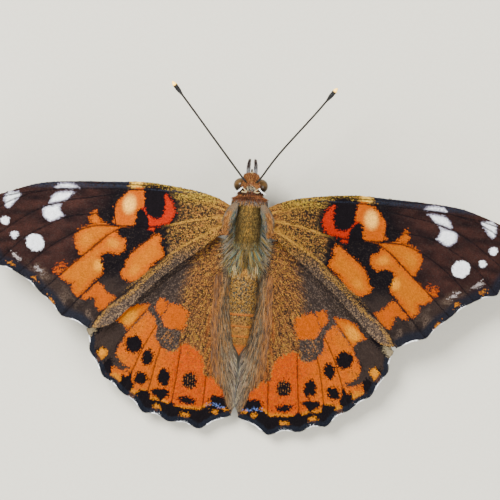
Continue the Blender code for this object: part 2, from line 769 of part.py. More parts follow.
def build_leg(leg, side, collection):
    """Femur, tibia and foot of one walking leg. The foot ends flat on the floor."""
    out, forward = LEG_ROOTS[leg]
    root = body_underside(out, forward)
    normal = body_normal(*root)
    joints = [root] + [Vector(j) for j in LEG_JOINTS[leg]]
    for number, piece in enumerate(LEG_PIECES):
        start, end = joints[number], joints[number + 1]
        along = (end - start).normalized() * LEG_OVERRUN
        cuts = []
        if number == 0:
            cuts.append(root_cut(side, root, normal))
        else:
            cuts.append(joint_cut(side, joints[number - 1], start, end, 1))
        if piece != LEG_PIECES[-1]:
            cuts.append(joint_cut(side, start, end, joints[number + 2], -1))
            end = end + along
        start = start - along
        path = [start.lerp(end, k / LEG_STEPS) for k in range(LEG_STEPS + 1)]
        if piece == "tarsus":
            drop = start.z - end.z
            for k, point in enumerate(path):
                point.z = end.z + drop * (1.0 - k / LEG_STEPS) ** TOE_FALL
        points = [spot(side, *p) for p in path]
        radii = spread_radii(LEG_RADII[number], len(path))
        tube(f"{leg}_{piece}_{side}", points, radii, cuts, "leg", collection)


def build_foreleg(side, collection):
    """The short front leg, folded under the head and not walked on."""
    root = body_underside(*FORELEG_ROOT)
    normal = body_normal(*root)
    path = smooth_path((root, *FORELEG_PATH), FORELEG_STEPS)
    points = [spot(side, *p) for p in path]
    radii = spread_radii(FORELEG_RADII, len(path))
    tube(f"foreleg_{side}", points, radii, [root_cut(side, root, normal)], "leg", collection)


def clear_scene():
    for thing in list(bpy.data.objects):
        bpy.data.objects.remove(thing)


def main():
    clear_scene()
    collection = bpy.data.collections.new("painted_lady_butterfly")
    cutters = bpy.data.collections.new("cutters")
    bpy.context.scene.collection.children.link(collection)
    bpy.context.scene.collection.children.link(cutters)
    build_body(collection)
    build_head(collection, cutters)
    build_proboscis(collection)
    for side in SIDES:
        build_palp(side, collection)
        build_antenna(side, collection)
        build_wings(side, collection)
        build_tegula(side, collection)
        build_foreleg(side, collection)
        for leg in LEG_JOINTS:
            build_leg(leg, side, collection)


main()
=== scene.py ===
"""Painted lady butterfly, dressed over its solid model.

Sizes are in millimetres along the animal's own directions: out from the midline,
forward along the body, up from the floor. The head points toward -Y and the
animal's left wing toward +X.
"""

import math
from types import SimpleNamespace

import bpy
import numpy as np
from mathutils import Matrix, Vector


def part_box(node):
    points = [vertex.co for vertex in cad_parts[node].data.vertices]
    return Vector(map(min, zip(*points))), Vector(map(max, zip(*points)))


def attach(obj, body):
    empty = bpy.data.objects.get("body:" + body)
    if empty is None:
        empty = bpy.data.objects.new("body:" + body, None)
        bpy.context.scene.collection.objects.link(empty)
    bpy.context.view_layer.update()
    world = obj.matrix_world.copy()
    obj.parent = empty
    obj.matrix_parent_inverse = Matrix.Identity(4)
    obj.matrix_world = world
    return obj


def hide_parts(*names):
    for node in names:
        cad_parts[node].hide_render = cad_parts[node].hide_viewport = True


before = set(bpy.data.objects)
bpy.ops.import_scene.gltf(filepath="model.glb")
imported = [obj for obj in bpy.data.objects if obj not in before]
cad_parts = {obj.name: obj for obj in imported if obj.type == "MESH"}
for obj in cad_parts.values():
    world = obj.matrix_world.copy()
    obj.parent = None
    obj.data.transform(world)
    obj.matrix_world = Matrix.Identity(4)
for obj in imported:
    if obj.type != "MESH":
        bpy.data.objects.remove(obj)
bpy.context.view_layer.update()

bl_info = {
    "name": "Painted lady butterfly",
    "version": (1, 0, 0),
    "blender": (4, 5, 0),
    "location": "View3D > Sidebar > Butterfly",
    "description": "Dresses the solid model of a painted lady in scales, hair and colour",
    "category": "Object",
}

MM = 0.001
SIDES = {"l": 1.0, "r": -1.0}
THORAX_LOW, THORAX_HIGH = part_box("thorax")
MIDLINE = (THORAX_LOW[0] + THORAX_HIGH[0]) / 2 / MM
THORAX_FRONT = 5.53
HEAD_ON = -THORAX_LOW[1] / MM - THORAX_FRONT

# Body from front to back: forward, half width, half height and centre height
BODY = (
    (6.65, 1.85, 1.55, 5.60), (5.80, 2.20, 1.95, 5.55), (4.80, 2.38, 2.25, 5.50),
    (3.20, 2.46, 2.46, 5.48), (1.20, 2.44, 2.46, 5.42), (-0.80, 2.10, 2.20, 5.24),
    (-2.10, 1.62, 1.72, 4.95), (-4.00, 1.70, 1.70, 4.72), (-6.00, 1.64, 1.62, 4.42),
    (-8.00, 1.40, 1.42, 4.10), (-10.00, 1.12, 1.14, 3.78), (-11.60, 0.74, 0.76, 3.52),
    (-12.66, 0.22, 0.24, 3.36),
)
SEGMENT_RINGS = (-3.55, -4.95, -6.35, -7.75, -9.10, -10.30, -11.40)
HEAD_CENTRE = (0.0, 7.60, 5.85)
HEAD_RADII = (1.42, 1.26, 1.40)
EYE_CENTRE = (1.15, 7.63, 5.86)
EYE_RADII = (0.88, 0.84, 1.10)

# The flap over the root of each forewing, with its tan stripe as forward and out, and the
# rolled tongue
TEGULA_OUTLINE = ((1.25, 5.45), (1.75, 5.55), (2.35, 5.15), (2.78, 4.40), (2.92, 3.50),
                  (2.78, 2.60), (2.40, 1.95), (2.08, 2.45), (1.85, 3.30), (1.58, 4.15),
                  (1.28, 4.85))
TEGULA_MIDDLE = np.array((2.15, 3.90))
TEGULA_STRIPE = ((1.9, 2.35), (2.6, 2.42), (3.5, 2.42), (4.4, 2.22), (5.2, 1.85))
TONGUE = {"centre": (8.95, 4.20), "reach": 0.62, "start": 105.0, "turns": 2.4}

# The sheet that the wings lie along, and the two wings above and below it
SHEET = {"height": 5.62, "pitch": 0.14, "rise": 0.05, "droop": 0.0045, "start": 12.0}
LAYER = {"fore": 0.58, "hind": -0.58}
HINGE = (2.8, 4.6)
FOREWING_TURN = {"l": -0.55, "r": 0.55}
SPAN_SHIFT = {"l": -0.25, "r": 0.16}
HINDWING_STRETCH = {"l": 1.004, "r": 1.012}
UP = (0.0, 0.0, 1.0)

# How many points are measured at a time, the depth given to points far from an outline, and
# the width of the lattice that the random fields repeat over
BATCH, FAR_OUTSIDE, LATTICE = 8192, -9.0, 61

# The skin's two ends, the bright line behind each eye and the loop on the crown
SKIN_FRONT, SKIN_BACK = 8.75, -12.45
EYE_RIM = ((1.84, 6.66, 5.95), (1.68, 6.76, 6.36), (1.42, 6.90, 6.76), (1.18, 7.10, 7.00),
           (0.98, 7.34, 7.14))
CROWN_LOOP = ((0.98, 7.34, 7.16), (0.74, 7.14, 7.22), (0.52, 6.94, 7.16), (0.72, 6.82, 7.06),
              (1.00, 6.86, 6.98))

# Hip, as out and forward, and knee, ankle and toe of each walking leg, the steps along it, and
# the short front leg
LEGS = {
    "midleg": ((1.15, 1.70), ((4.90, 3.10, 4.05), (7.10, 4.30, 0.62), (9.40, 5.25, 0.24))),
    "hindleg": ((1.05, -0.70), ((4.10, -4.00, 3.10), (5.60, -7.40, 0.60), (6.60, -10.30, 0.24))),
}
THIGH_STEPS, SHIN_STEPS, FOOT_STEPS = 60, 69, 79
FORELEG_HIP = (0.95, 5.45)
FORELEG_ROUTE = ((1.20, 6.20, 3.10), (1.32, 6.95, 2.85), (1.15, 7.80, 3.00), (0.92, 8.45, 3.40))

# Floor, sky, lamps and lens: place, size and power of each lamp in metres and watts
FLOOR_HALF = 0.6
SKY_COLOUR, SKY_STRENGTH = (0.93, 0.96, 1.0), 1.36
LAMPS = (((0.22, -0.20, 0.42), 0.22, 11.4), ((-0.35, 0.10, 0.35), 0.35, 4.35),
         ((0.05, 0.40, 0.22), 0.3, 2.45))
SENSOR, WING_LEVEL, VIEW_SHIFT = 36.0, 6.0, 0.437

# Where both feelers leave the head, as out and forward, their radius along the shaft and at
# the club, and for each its bends, from that root and as a share of its rise, and its tip
ANTENNA_ROOT = (0.64, 8.08)
SHAFT_RADIUS, CLUB_RADIUS = 0.112, 0.255
ANTENNA_BENDS = {
    "l": ((3.3, 3.8, 0.29), (6.5, 7.6, 0.68)),
    "r": ((2.45, 3.5, 0.26), (6.35, 8.45, 0.73)),
}
ANTENNA_TIP = {"l": (10.05, 19.1, 11.4), "r": (9.3, 19.65, 11.4)}

# Edges of the wings, from the root outwards, with the outer margin from back to front
FOREWING_EDGES = {
    "inner": ((1.9, 1.7), (3.5, 1.35), (5.0, 0.1), (7.0, -1.5), (10.0, -3.95), (13.5, -7.5),
              (16.0, -9.85), (18.1, -10.3)),
    "costa": ((1.9, 4.9), (4.0, 5.95), (7.0, 6.65), (12.0, 7.2), (16.0, 7.05), (21.0, 6.8),
              (25.0, 6.35), (28.5, 5.2), (30.6, 4.35), (31.6, 3.3)),
    "ends": ((18.1, -10.3), (21.5, -8.95), (24.2, -6.3), (26.9, -4.25), (29.55, -3.35),
             (31.0, -1.05), (31.65, 1.5), (31.6, 3.3)),
    "bays": (0.22, 0.22, 0.22, 0.2, 0.22, 0.25, 0.05),
}
HINDWING_EDGES = {
    "inner": ((1.9, -2.6), (1.55, -4.5), (1.45, -7.0), (1.15, -9.5), (0.70, -11.8),
              (0.34, -13.2), (0.20, -14.6), (0.18, -16.4), (0.22, -18.2), (0.45, -19.45)),
    "costa": ((2.0, 1.0), (4.0, 1.25), (6.5, 0.65), (9.5, -1.05), (13.3, -4.0), (16.4, -7.6),
              (18.0, -10.5)),
    "ends": ((0.45, -19.45), (4.1, -21.3), (7.8, -20.65), (10.8, -19.8), (13.4, -17.65),
             (15.75, -15.9), (17.5, -13.0), (18.0, -10.5)),
    "bays": (0.25, 0.42, 0.42, 0.34, 0.2, 0.15, 0.25),
}
FOREWING_VEINS = (
    ((2.0, 4.9), (8.0, 6.55), (14.0, 6.85), (18.5, 6.75), (21.0, 6.9)),
    ((2.0, 4.3), (8.0, 5.95), (13.0, 6.3), (20.5, 5.98), (24.0, 5.6), (28.0, 4.3), (32.0, 1.5)),
    ((24.0, 5.6), (28.5, 4.75), (31.95, 3.2)),
    ((15.6, 5.7), (19.0, 5.05), (22.2, 4.4), (26.0, 2.75), (31.35, -1.2)),
    ((16.1, 3.4), (19.5, 3.0), (22.0, 2.4), (26.4, -0.1), (29.8, -3.6)),
    ((15.8, 1.9), (18.5, 1.7), (21.0, 0.6), (24.0, -1.5), (27.1, -4.5)),
    ((15.45, 6.2), (16.0, 4.9), (16.1, 3.4), (15.8, 1.9)),
    ((2.0, 3.7), (6.0, 3.2), (9.8, 2.2), (13.0, 1.95), (15.8, 1.9)),
    ((13.0, 1.95), (15.8, 1.35), (19.0, -1.4), (24.4, -6.55)),
    ((9.8, 2.2), (12.3, 0.1), (17.6, -4.7), (21.7, -9.2)),
    ((2.0, 3.2), (6.0, 0.9), (9.0, -1.1), (13.0, -4.8), (17.0, -8.5), (18.2, -10.55)),
)
HINDWING_VEINS = (
    ((2.0, 0.8), (8.0, -0.9), (12.5, -4.6), (16.0, -8.1), (18.35, -10.6)),
    ((2.0, 0.3), (7.0, -2.6), (10.5, -5.6), (16.0, -11.0), (17.75, -13.1)),
    ((8.2, -3.6), (11.2, -7.8), (13.4, -10.6), (15.0, -13.4), (15.95, -16.0)),
    ((9.5, -8.8), (11.2, -12.0), (12.6, -15.6), (13.55, -17.85)),
    ((2.0, -0.2), (6.2, -3.0), (8.3, -5.4), (9.5, -8.8)),
    ((9.5, -8.8), (8.9, -10.6), (9.7, -13.8), (10.9, -20.05)),
    ((2.0, -0.9), (4.3, -4.5), (6.0, -7.6), (7.0, -9.4), (8.9, -10.6)),
    ((7.0, -9.4), (6.9, -12.2), (7.3, -16.5), (7.85, -20.9)),
    ((4.3, -4.5), (3.9, -10.0), (3.7, -15.5), (4.1, -21.55)),
    ((2.0, -1.8), (2.7, -7.0), (2.1, -12.0), (1.4, -17.0), (1.7, -20.1)),
)

# Markings of the forewing's upper side in the order they are laid on: colour at the edge,
# colour in the middle, how far in the middle colour starts, raggedness, and the outline as
# out and forward in turn
FOREWING_MARKS = (
    ("gold_light", "cream", 0.3, 0.16, (12.9, 6.35, 13.6, 6.3, 14.4, 6.4, 14.35, 7.4, 13.3, 7.6,
        12.6, 7.3)),
    ("red_orange", "red_orange", 0.5, 0.1, (10.2, 6.45, 9.7, 5.75, 9.15, 5.2, 8.8, 4.6, 8.7, 4.0,
        8.8, 3.4, 9.3, 2.6, 10.0, 2.3, 10.8, 2.1, 11.9, 2.05, 12.1, 3.0, 12.6, 3.6, 13.1, 4.2,
        13.3, 6.3, 11.5, 6.5)),
    ("dark", "dark", 0.5, 0.07, (10.1, 6.6, 10.1, 5.7, 10.0, 5.0, 10.1, 4.0, 10.3, 3.3, 10.8, 3.05,
        11.4, 3.1, 12.0, 3.5, 12.4, 4.2, 12.6, 5.2, 12.7, 6.5)),
    ("dark", "dark", 0.5, 0.07, (12.9, 4.0, 13.4, 3.6, 13.45, 2.6, 13.6, 1.9, 12.0, 1.9, 12.0, 3.0,
        12.4, 3.6)),
    ("red_orange", "orange", 0.3, 0.05, (11.0, 1.65, 11.7, 1.6, 11.75, 1.9, 11.1, 1.95)),
    ("orange", "orange", 0.45, 0.08, (12.7, 6.1, 13.2, 6.5, 14.0, 6.2, 14.7, 5.9, 15.3, 5.3, 15.8, 4.6,
        16.0, 3.8, 15.95, 3.0, 16.05, 2.6, 16.3, 2.3, 15.2, 1.8, 14.3, 1.9, 13.6, 2.1, 13.4, 3.0,
        13.4, 3.7, 13.0, 4.1, 12.5, 4.5)),
    ("orange", "amber", 0.3, 0.09, (10.2, 1.0, 10.9, 1.2, 11.4, 0.8, 12.0, 0.3, 12.8, -0.4, 13.5, -1.0,
        14.0, -1.6, 14.3, -2.3, 14.5, -3.0, 14.8, -3.4, 14.65, -4.2, 14.0, -4.5, 13.2, -4.5, 12.5, -4.0,
        11.8, -3.3, 11.2, -2.6, 10.5, -2.0, 9.9, -1.5, 9.7, -0.9, 9.9, -0.5, 10.2, 0.0, 10.1, 0.6)),
    ("orange", "amber", 0.3, 0.08, (16.3, 1.2, 15.7, 1.1, 15.2, 0.7, 14.6, 0.3, 14.45, -0.3, 14.6, -0.9,
        15.0, -1.3, 15.5, -1.5, 16.2, -1.3, 17.0, -1.5, 17.5, -1.9, 18.3, -1.5, 18.2, -0.8, 17.2, 0.3)),
    ("orange", "amber", 0.2, 0.12, (17.4, 2.05, 17.8, 2.6, 18.0, 3.2, 18.3, 3.5, 18.7, 3.3, 18.85, 2.7,
        18.9, 2.1, 18.2, 1.8)),
    ("orange", "amber", 0.2, 0.09, (15.4, 1.7, 16.3, 1.9, 17.3, 2.1, 18.2, 2.0, 19.2, 1.7, 20.0, 1.2,
        20.4, 0.6, 20.6, 0.0, 20.4, -0.7, 20.1, -1.2, 19.8, -1.8, 19.2, -1.7, 18.5, -1.1, 17.8, -0.4,
        17.0, 0.3, 16.2, 1.0, 15.6, 1.35)),
    ("orange", "amber", 0.2, 0.09, (16.3, 1.1, 17.5, -0.2, 19.0, -1.5, 20.5, -2.6, 21.7, -3.9,
        22.0, -4.4, 21.5, -4.9, 20.9, -5.2, 20.5, -5.3, 20.6, -6.0, 20.2, -6.6, 19.7, -6.7, 19.0, -6.1,
        18.2, -5.1, 17.4, -4.3, 17.0, -3.6, 17.2, -2.8, 17.4, -2.1, 17.1, -1.5, 16.2, -1.2, 15.4, -0.8,
        15.2, 0.2)),
    ("deep_orange", "orange", 0.0, 0.26, (21.3, -3.1, 22.0, -2.9, 22.4, -3.2, 22.6, -3.6, 22.3, -4.0,
        21.9, -3.9)),
    ("orange", "orange", 0.5, 0.09, (15.4, -6.4, 16.3, -6.0, 16.9, -5.4, 17.4, -5.1, 18.0, -5.2,
        18.6, -5.9, 19.3, -6.7, 18.9, -7.0, 18.3, -6.8, 17.8, -6.9, 17.7, -7.4, 17.4, -7.9, 17.1, -8.2,
        16.6, -8.0, 16.0, -7.4, 15.6, -6.9)),
    ("lilac", "white", -0.2, 0.05, (20.4, 6.0, 20.5, 6.3, 21.2, 6.55, 22.2, 6.6, 22.9, 6.4, 23.2, 6.05,
        23.0, 5.85, 22.0, 5.95)),
    ("lilac", "white", -0.2, 0.05, (20.7, 5.5, 21.2, 5.6, 22.2, 5.6, 23.0, 5.4, 23.4, 5.1, 23.7, 4.6,
        23.9, 4.1, 23.6, 4.0, 22.8, 4.2, 22.1, 4.4, 21.6, 4.7, 21.2, 5.2)),
    ("lilac", "white", -0.2, 0.05, (22.3, 4.2, 22.9, 4.0, 23.8, 3.8, 24.3, 3.6, 24.6, 3.1, 24.4, 2.5,
        24.0, 2.1, 23.6, 1.85, 23.0, 2.0, 22.4, 2.4, 21.95, 2.7, 22.3, 3.2, 22.4, 3.6)),
    ("lilac", "white", -0.2, 0.05, (27.2, 5.1, 28.0, 5.2, 28.8, 5.05, 29.2, 4.6, 29.1, 3.9, 28.9, 3.3,
        28.4, 3.3, 27.9, 3.9, 27.4, 4.4)),
)
# Oval spots: colour, place as out and forward, two sizes and turn
FOREWING_SPOTS = (
    ("white", 28.9, 1.7, 0.5, 0.5, 0.0), ("white", 27.7, 0.1, 0.47, 0.47, 0.0),
    ("white", 25.2, -0.65, 1.12, 1.0, 0.4), ("haze", 24.5, -3.9, 0.55, 0.20, 0.6),
    ("haze", 27.3, -2.4, 0.6, 0.22, 0.7), ("yellow", 25.0, -4.9, 0.28, 0.16, 0.9),
    ("yellow", 27.9, -3.3, 0.3, 0.15, 0.5), ("yellow", 22.9, -7.3, 0.26, 0.14, 0.7),
)

# Outline of the forewing's golden and taupe base
FOREWING_BASE = (0.5, 6.5, 8.9, 6.4, 8.6, 5.2, 8.5, 4.0, 8.8, 2.9, 9.5, 2.0, 9.5, 0.6, 9.4, -0.5,
    9.4, -1.4, 10.8, -2.5, 12.4, -3.9, 13.9, -5.3, 15.4, -6.7, 16.9, -8.4, 17.8, -10.6, 13.0, -9.5,
    0.5, 0.5)

# Pale glows inside the patches: colour, place, two sizes, turn and strength
FOREWING_GLOWS = (
    ("pale_peach", 14.3, 4.5, 1.1, 1.55, 0.15, 1.0), ("peach", 17.6, -2.9, 0.8, 1.0, 0.0, 0.9),
    ("peach", 15.9, -0.2, 1.1, 0.8, 0.4, 0.5), ("peach", 13.2, -3.2, 1.0, 0.7, -0.8, 0.3),
    ("peach", 19.2, 0.1, 1.2, 0.8, -0.8, 0.2), ("amber", 21.0, -4.2, 1.2, 0.9, 0.6, 0.5),
)

# Outline of the hindwing's orange field, and the markings in and round it
HINDWING_FIELD = (10.0, -9.2, 10.6, -8.5, 11.1, -8.1, 11.9, -8.9, 12.7, -10.0, 13.3, -10.9, 13.9, -11.7,
    14.4, -12.6, 14.6, -13.4, 15.3, -14.4, 15.6, -15.3, 14.6, -16.3, 13.2, -17.3, 12.0, -18.5,
    10.7, -19.4, 9.2, -20.0, 7.8, -20.3, 5.9, -20.7, 4.2, -20.9, 2.6, -20.3, 1.2, -19.3, 0.9, -18.2,
    1.2, -17.3, 1.8, -16.5, 2.7, -15.5, 3.9, -15.0, 4.0, -14.0, 4.4, -13.0, 5.0, -12.2, 6.6, -11.6,
    7.4, -12.4, 8.2, -12.5, 8.9, -12.2, 9.3, -11.6, 9.7, -11.2, 9.75, -10.3)
HINDWING_MARKS = (
    ("orange", "orange", 0.5, 0.1, (6.3, -7.6, 7.0, -7.3, 7.6, -7.0, 8.1, -6.85, 8.6, -7.1, 8.9, -7.7,
        9.2, -8.4, 9.4, -9.0, 9.3, -9.6, 8.8, -9.9, 7.6, -10.0, 6.9, -10.0, 6.6, -9.4, 6.4, -8.6)),
    ("orange", "orange", 0.5, 0.09, (8.8, -7.0, 9.1, -6.5, 9.6, -6.4, 10.0, -6.8, 10.1, -7.5,
        10.0, -8.0, 9.7, -8.3, 9.4, -8.5, 9.1, -7.8)),
    ("taupe", "taupe", 0.5, 0.1, (7.2, -10.1, 8.5, -10.0, 9.1, -9.6, 9.3, -9.0, 9.6, -9.2, 9.85, -10.3,
        9.8, -11.2, 9.4, -11.7, 8.9, -12.2, 8.2, -12.5, 7.5, -12.3, 7.3, -11.8, 7.1, -11.0)),
    ("orange", "amber", 0.1, 0.08, (10.9, -7.2, 11.8, -7.3, 12.6, -7.4, 13.3, -7.7, 14.0, -8.4,
        14.6, -9.0, 14.9, -9.4, 14.2, -9.7, 13.7, -10.2, 13.3, -10.6, 12.6, -9.8, 11.9, -8.8,
        11.2, -8.0)),
    ("umber", "umber", 0.5, 0.12, (13.7, -10.2, 14.4, -9.7, 15.2, -9.6, 16.0, -10.2, 16.6, -11.0,
        17.5, -12.0, 17.7, -13.3, 16.3, -12.6, 15.9, -12.8, 15.6, -13.3, 16.0, -14.2, 16.1, -15.0,
        15.7, -15.8, 15.2, -16.0, 14.9, -15.3, 14.8, -14.7, 14.2, -15.0, 13.4, -15.1, 13.0, -14.8,
        13.8, -14.2, 14.4, -13.6, 14.5, -12.8, 14.1, -11.8, 13.6, -10.8)),
    ("yellow", "yellow", 0.3, 0.08, (15.5, -13.2, 16.1, -12.6, 16.4, -12.9, 16.9, -13.5, 16.6, -14.3,
        16.1, -14.0)),
    ("dark", "dark", 0.5, 0.07, (12.6, -15.4, 12.9, -15.9, 13.6, -15.8, 13.8, -16.4, 13.7, -17.2,
        13.2, -17.9, 12.7, -17.7, 12.3, -17.0)),
    ("dark", "dark", 0.5, 0.07, (10.4, -17.4, 11.7, -17.6, 11.7, -18.4, 11.6, -19.3, 10.9, -20.0,
        10.3, -20.1, 9.9, -19.5, 9.6, -18.9, 10.2, -18.3)),
    ("dark", "dark", 0.5, 0.07, (6.3, -19.3, 7.0, -19.0, 7.6, -18.6, 8.2, -18.9, 8.9, -19.1, 8.8, -19.8,
        8.5, -20.4, 7.8, -20.8, 7.2, -20.7, 6.6, -20.2)),
    ("dark", "dark", 0.5, 0.07, (0.6, -19.0, 2.8, -18.6, 3.5, -19.2, 4.5, -19.4, 5.5, -19.7, 5.6, -20.3,
        5.1, -21.1, 4.1, -21.5, 3.3, -21.1, 2.5, -20.3, 1.5, -20.0, 0.7, -19.7)),
    ("dark", "dark", 0.5, 0.06, (7.95, -17.3, 8.9, -17.1, 9.9, -17.35, 9.5, -17.9, 8.9, -18.3,
        8.3, -17.9)),
)
HINDWING_SPOTS = (
    ("dark", 12.45, -12.1, 1.05, 1.05, 0.0), ("dark", 10.75, -13.5, 0.78, 0.95, 0.0),
    ("dark", 8.65, -15.65, 0.78, 1.05, 0.0), ("streaked", 5.6, -15.9, 0.86, 1.0, 0.0),
    ("dark", 11.4, -16.0, 0.86, 0.74, -0.5), ("dark", 5.75, -18.2, 1.1, 0.50, 0.2),
    ("dark", 8.9, -17.7, 0.95, 0.50, 0.1), ("dark", 15.35, -14.85, 0.60, 1.0, 0.1),
    ("yellow", 5.9, -19.95, 0.5, 0.36, 0.1), ("yellow", 9.2, -19.3, 0.45, 0.34, 0.4),
    ("yellow", 12.2, -17.9, 0.36, 0.5, 0.4), ("yellow", 14.2, -16.0, 0.6, 0.45, 0.6),
    ("dark", 2.0, -18.1, 1.2, 0.75, 0.1), ("blue", 1.45, -18.72, 0.34, 0.10, 0.1),
    ("blue", 2.55, -18.52, 0.30, 0.09, -0.1), ("yellow", 2.4, -19.3, 0.34, 0.28, 0.2),
    ("yellow", 1.1, -18.98, 0.3, 0.10, 0.3),
)

# How far out the hair of the inner margin reaches: forward and out
MARGIN_HAIR_LIMIT = ((-19.3, 0.55), (-18.0, 0.85), (-16.4, 1.35), (-14.6, 1.9), (-12.5, 2.4),
                     (-8.0, 2.7), (-4.0, 2.6), (-2.0, 2.5))
HINDWING_GLOWS = (
    ("peach", 13.2, -8.9, 1.5, 0.9, -0.75, 0.85), ("peach", 16.2, -13.2, 0.6, 0.6, 0.0, 0.6),
    ("amber", 12.0, -10.0, 2.0, 1.2, -0.9, 0.5), ("amber", 14.0, -14.0, 1.6, 1.0, -0.6, 0.6),
)


def tint(name, description, red, green, blue):
    """A colour that the user can change, in the shader's linear values."""
    return bpy.props.FloatVectorProperty(
        name=name, description=description, subtype="COLOR", size=3, min=0.0, max=1.0,
        default=(red, green, blue))


def length_of(name, description, default):
    """A length in millimetres that the user can change."""
    return bpy.props.FloatProperty(name=name, description=description, default=default,
                                   min=0.001, precision=3)


# What each colour of the scales and hair is for, and its linear red, green and blue
TINTS = {
    "orange": ("Bright orange of the patches", 0.385, 0.07, 0.0),
    "amber": ("Yellower middles of the orange patches", 0.41, 0.106, 0.0),
    "deep_orange": ("Orange of the hindwing", 0.4, 0.05, 0.0),
    "red_orange": ("Orange round the cell's black spot", 0.335, 0.014, 0.0003),
    "peach": ("Pale middles of the orange patches", 0.62, 0.235, 0.005),
    "pale_peach": ("Cream middle of the cell's patch", 0.85, 0.43, 0.065),
    "yellow": ("Spots near the margin", 0.46, 0.145, 0.0),
    "white": ("White spots of the wing tip and the fringe", 1.0, 1.0, 1.0),
    "lilac": ("Edges of the white spots", 0.1188, 0.0993, 0.167),
    "haze": ("Faint pale spots before the margin", 0.34, 0.29, 0.27),
    "cream": ("Cream patch on the front edge", 0.95, 0.55, 0.07),
    "dark": ("Black brown of the markings", 0.0049, 0.0034, 0.0043),
    "tip": ("Purple brown of the forewing tip", 0.036, 0.014, 0.0108),
    "umber": ("Dark brown of the hindwing's outer part", 0.03, 0.0195, 0.0152),
    # Navy is blue black: black scales with a painted blue-grey sheen over them
    "navy": ("Blue black along the margins", 0.0095, 0.0115, 0.018),
    "straw": ("Yellow scales along the forewing's front edge", 0.31, 0.2, 0.022),
    "gold_light": ("Brightest scales of the wing base", 0.3142, 0.1535, 0.023),
    "gold": ("Golden scales of the wing base", 0.1122, 0.0597, 0.0166),
    "gold_dark": ("Dark scales of the wing base", 0.015, 0.0105, 0.0069),
    "taupe_light": ("Pale scales of the inner margins", 0.22, 0.135, 0.072),
    "taupe": ("Grey brown along the inner margins", 0.08, 0.054, 0.038),
    "taupe_dark": ("Dark scales between them", 0.027, 0.0195, 0.0165),
    "rust_light": ("Bright flecks of the hindwing", 0.2481, 0.0933, 0.0199),
    "rust": ("Red brown inner part of the hindwing", 0.1049, 0.0444, 0.0166),
    "rust_dark": ("Dark scales between them", 0.02, 0.0115, 0.008),
    "hair_light": ("Pale hair beside the abdomen", 0.165, 0.12, 0.067),
    "hair": ("Grey brown hair beside the abdomen", 0.068, 0.0488, 0.0306),
    "hair_dark": ("Dark hair beside the abdomen", 0.015, 0.0115, 0.009),
    "blue": ("Blue scales near the hindwing's inner corner", 0.09, 0.14, 0.34),
    "olive_light": ("Light hair of the thorax", 0.1634, 0.1051, 0.0256),
    "olive": ("Olive brown hair down the thorax", 0.0768, 0.0471, 0.0139),
    "olive_dark": ("Dark hair of the thorax", 0.022, 0.0155, 0.006),
    "teal_light": ("Pale blue green hair of the thorax", 0.087, 0.1599, 0.1189),
    "teal": ("Blue green hair of the thorax", 0.0394, 0.0631, 0.0549),
    "grey": ("Grey hair of head and thorax", 0.0912, 0.0875, 0.0797),
    "collar": ("Red brown hair of the collar", 0.105, 0.034, 0.015),
    "collar_dark": ("Dark hair of the collar", 0.035, 0.013, 0.0074),
    "tan": ("Tan hair of the shoulder flaps and abdomen", 0.2328, 0.1043, 0.0272),
    "ginger": ("Ginger hair of the shoulder flaps and face", 0.1476, 0.0543, 0.0149),
    "belly": ("Pale scales of the underside", 0.3872, 0.2988, 0.15),
    "eye": ("Amber brown of the eyes", 0.055, 0.027, 0.0065),
    "feeler": ("Dark shafts of the feelers", 0.0022, 0.0019, 0.0018),
    "leg": ("Pale brown legs", 0.07, 0.044, 0.021),
    "rose": ("Rose orange of the forewing's underside", 0.17, 0.034, 0.01),
    "pale": ("Pale marbling of the underside", 0.26, 0.2, 0.11),
    "marble": ("Brown marbling of the underside", 0.046, 0.031, 0.0165),
    "marble_dark": ("Dark marbling of the underside", 0.015, 0.011, 0.0075),
}


class ButterflyColours(bpy.types.PropertyGroup):
    """Colours of the scales and the hair"""
    __annotations__ = {name: tint(name.replace("_", " ").capitalize(), *values)
                       for name, values in TINTS.items()}


class ButterflyWings(bpy.types.PropertyGroup):
    """Sizes of the wings and their scales, in millimetres"""
    half_thickness: length_of("Half thickness", "Half the thickness of the membrane", 0.055)
    vein_rise: length_of("Vein rise", "How far a main vein stands out of the membrane", 0.10)
    vein_width: length_of("Vein width", "Half the width of a vein", 0.13)
    scale_length: length_of("Scale length", "Length of a wing scale", 0.23)
    scale_width: length_of("Scale width", "Width of a wing scale", 0.145)
    row_step: length_of("Row step", "Distance from one row of scales to the next", 0.108)
    scale_step: length_of("Scale step", "Distance between scales of a row", 0.088)
    fringe: length_of("Fringe", "Length of the fringe beyond the membrane", 0.27)


class ButterflyCoat(bpy.types.PropertyGroup):
    """Sizes of the hair on the body, in millimetres"""
    depth: length_of("Coat depth", "How far the skin lies inside the solid body", 0.26)
    thorax_hair: length_of("Thorax hair", "Length of the hair on the thorax", 0.42)
    head_hair: length_of("Head hair", "Length of the hair on the head", 0.42)
    abdomen_hair: length_of("Abdomen scales", "Length of the scales on the abdomen", 0.24)


class ButterflyStage(bpy.types.PropertyGroup):
    """Camera, floor and light"""
    camera_height: length_of("Camera height", "Height of the camera above the floor", 700.0)
    view_width: length_of("View width", "Width of the picture at the wings", 59.0)
    turn: bpy.props.FloatProperty(
        name="Turn", description="Turn of the picture against the body", subtype="ANGLE",
        default=math.radians(4.1))
    floor: tint("Floor", "Pale floor", 0.34, 0.321, 0.265)


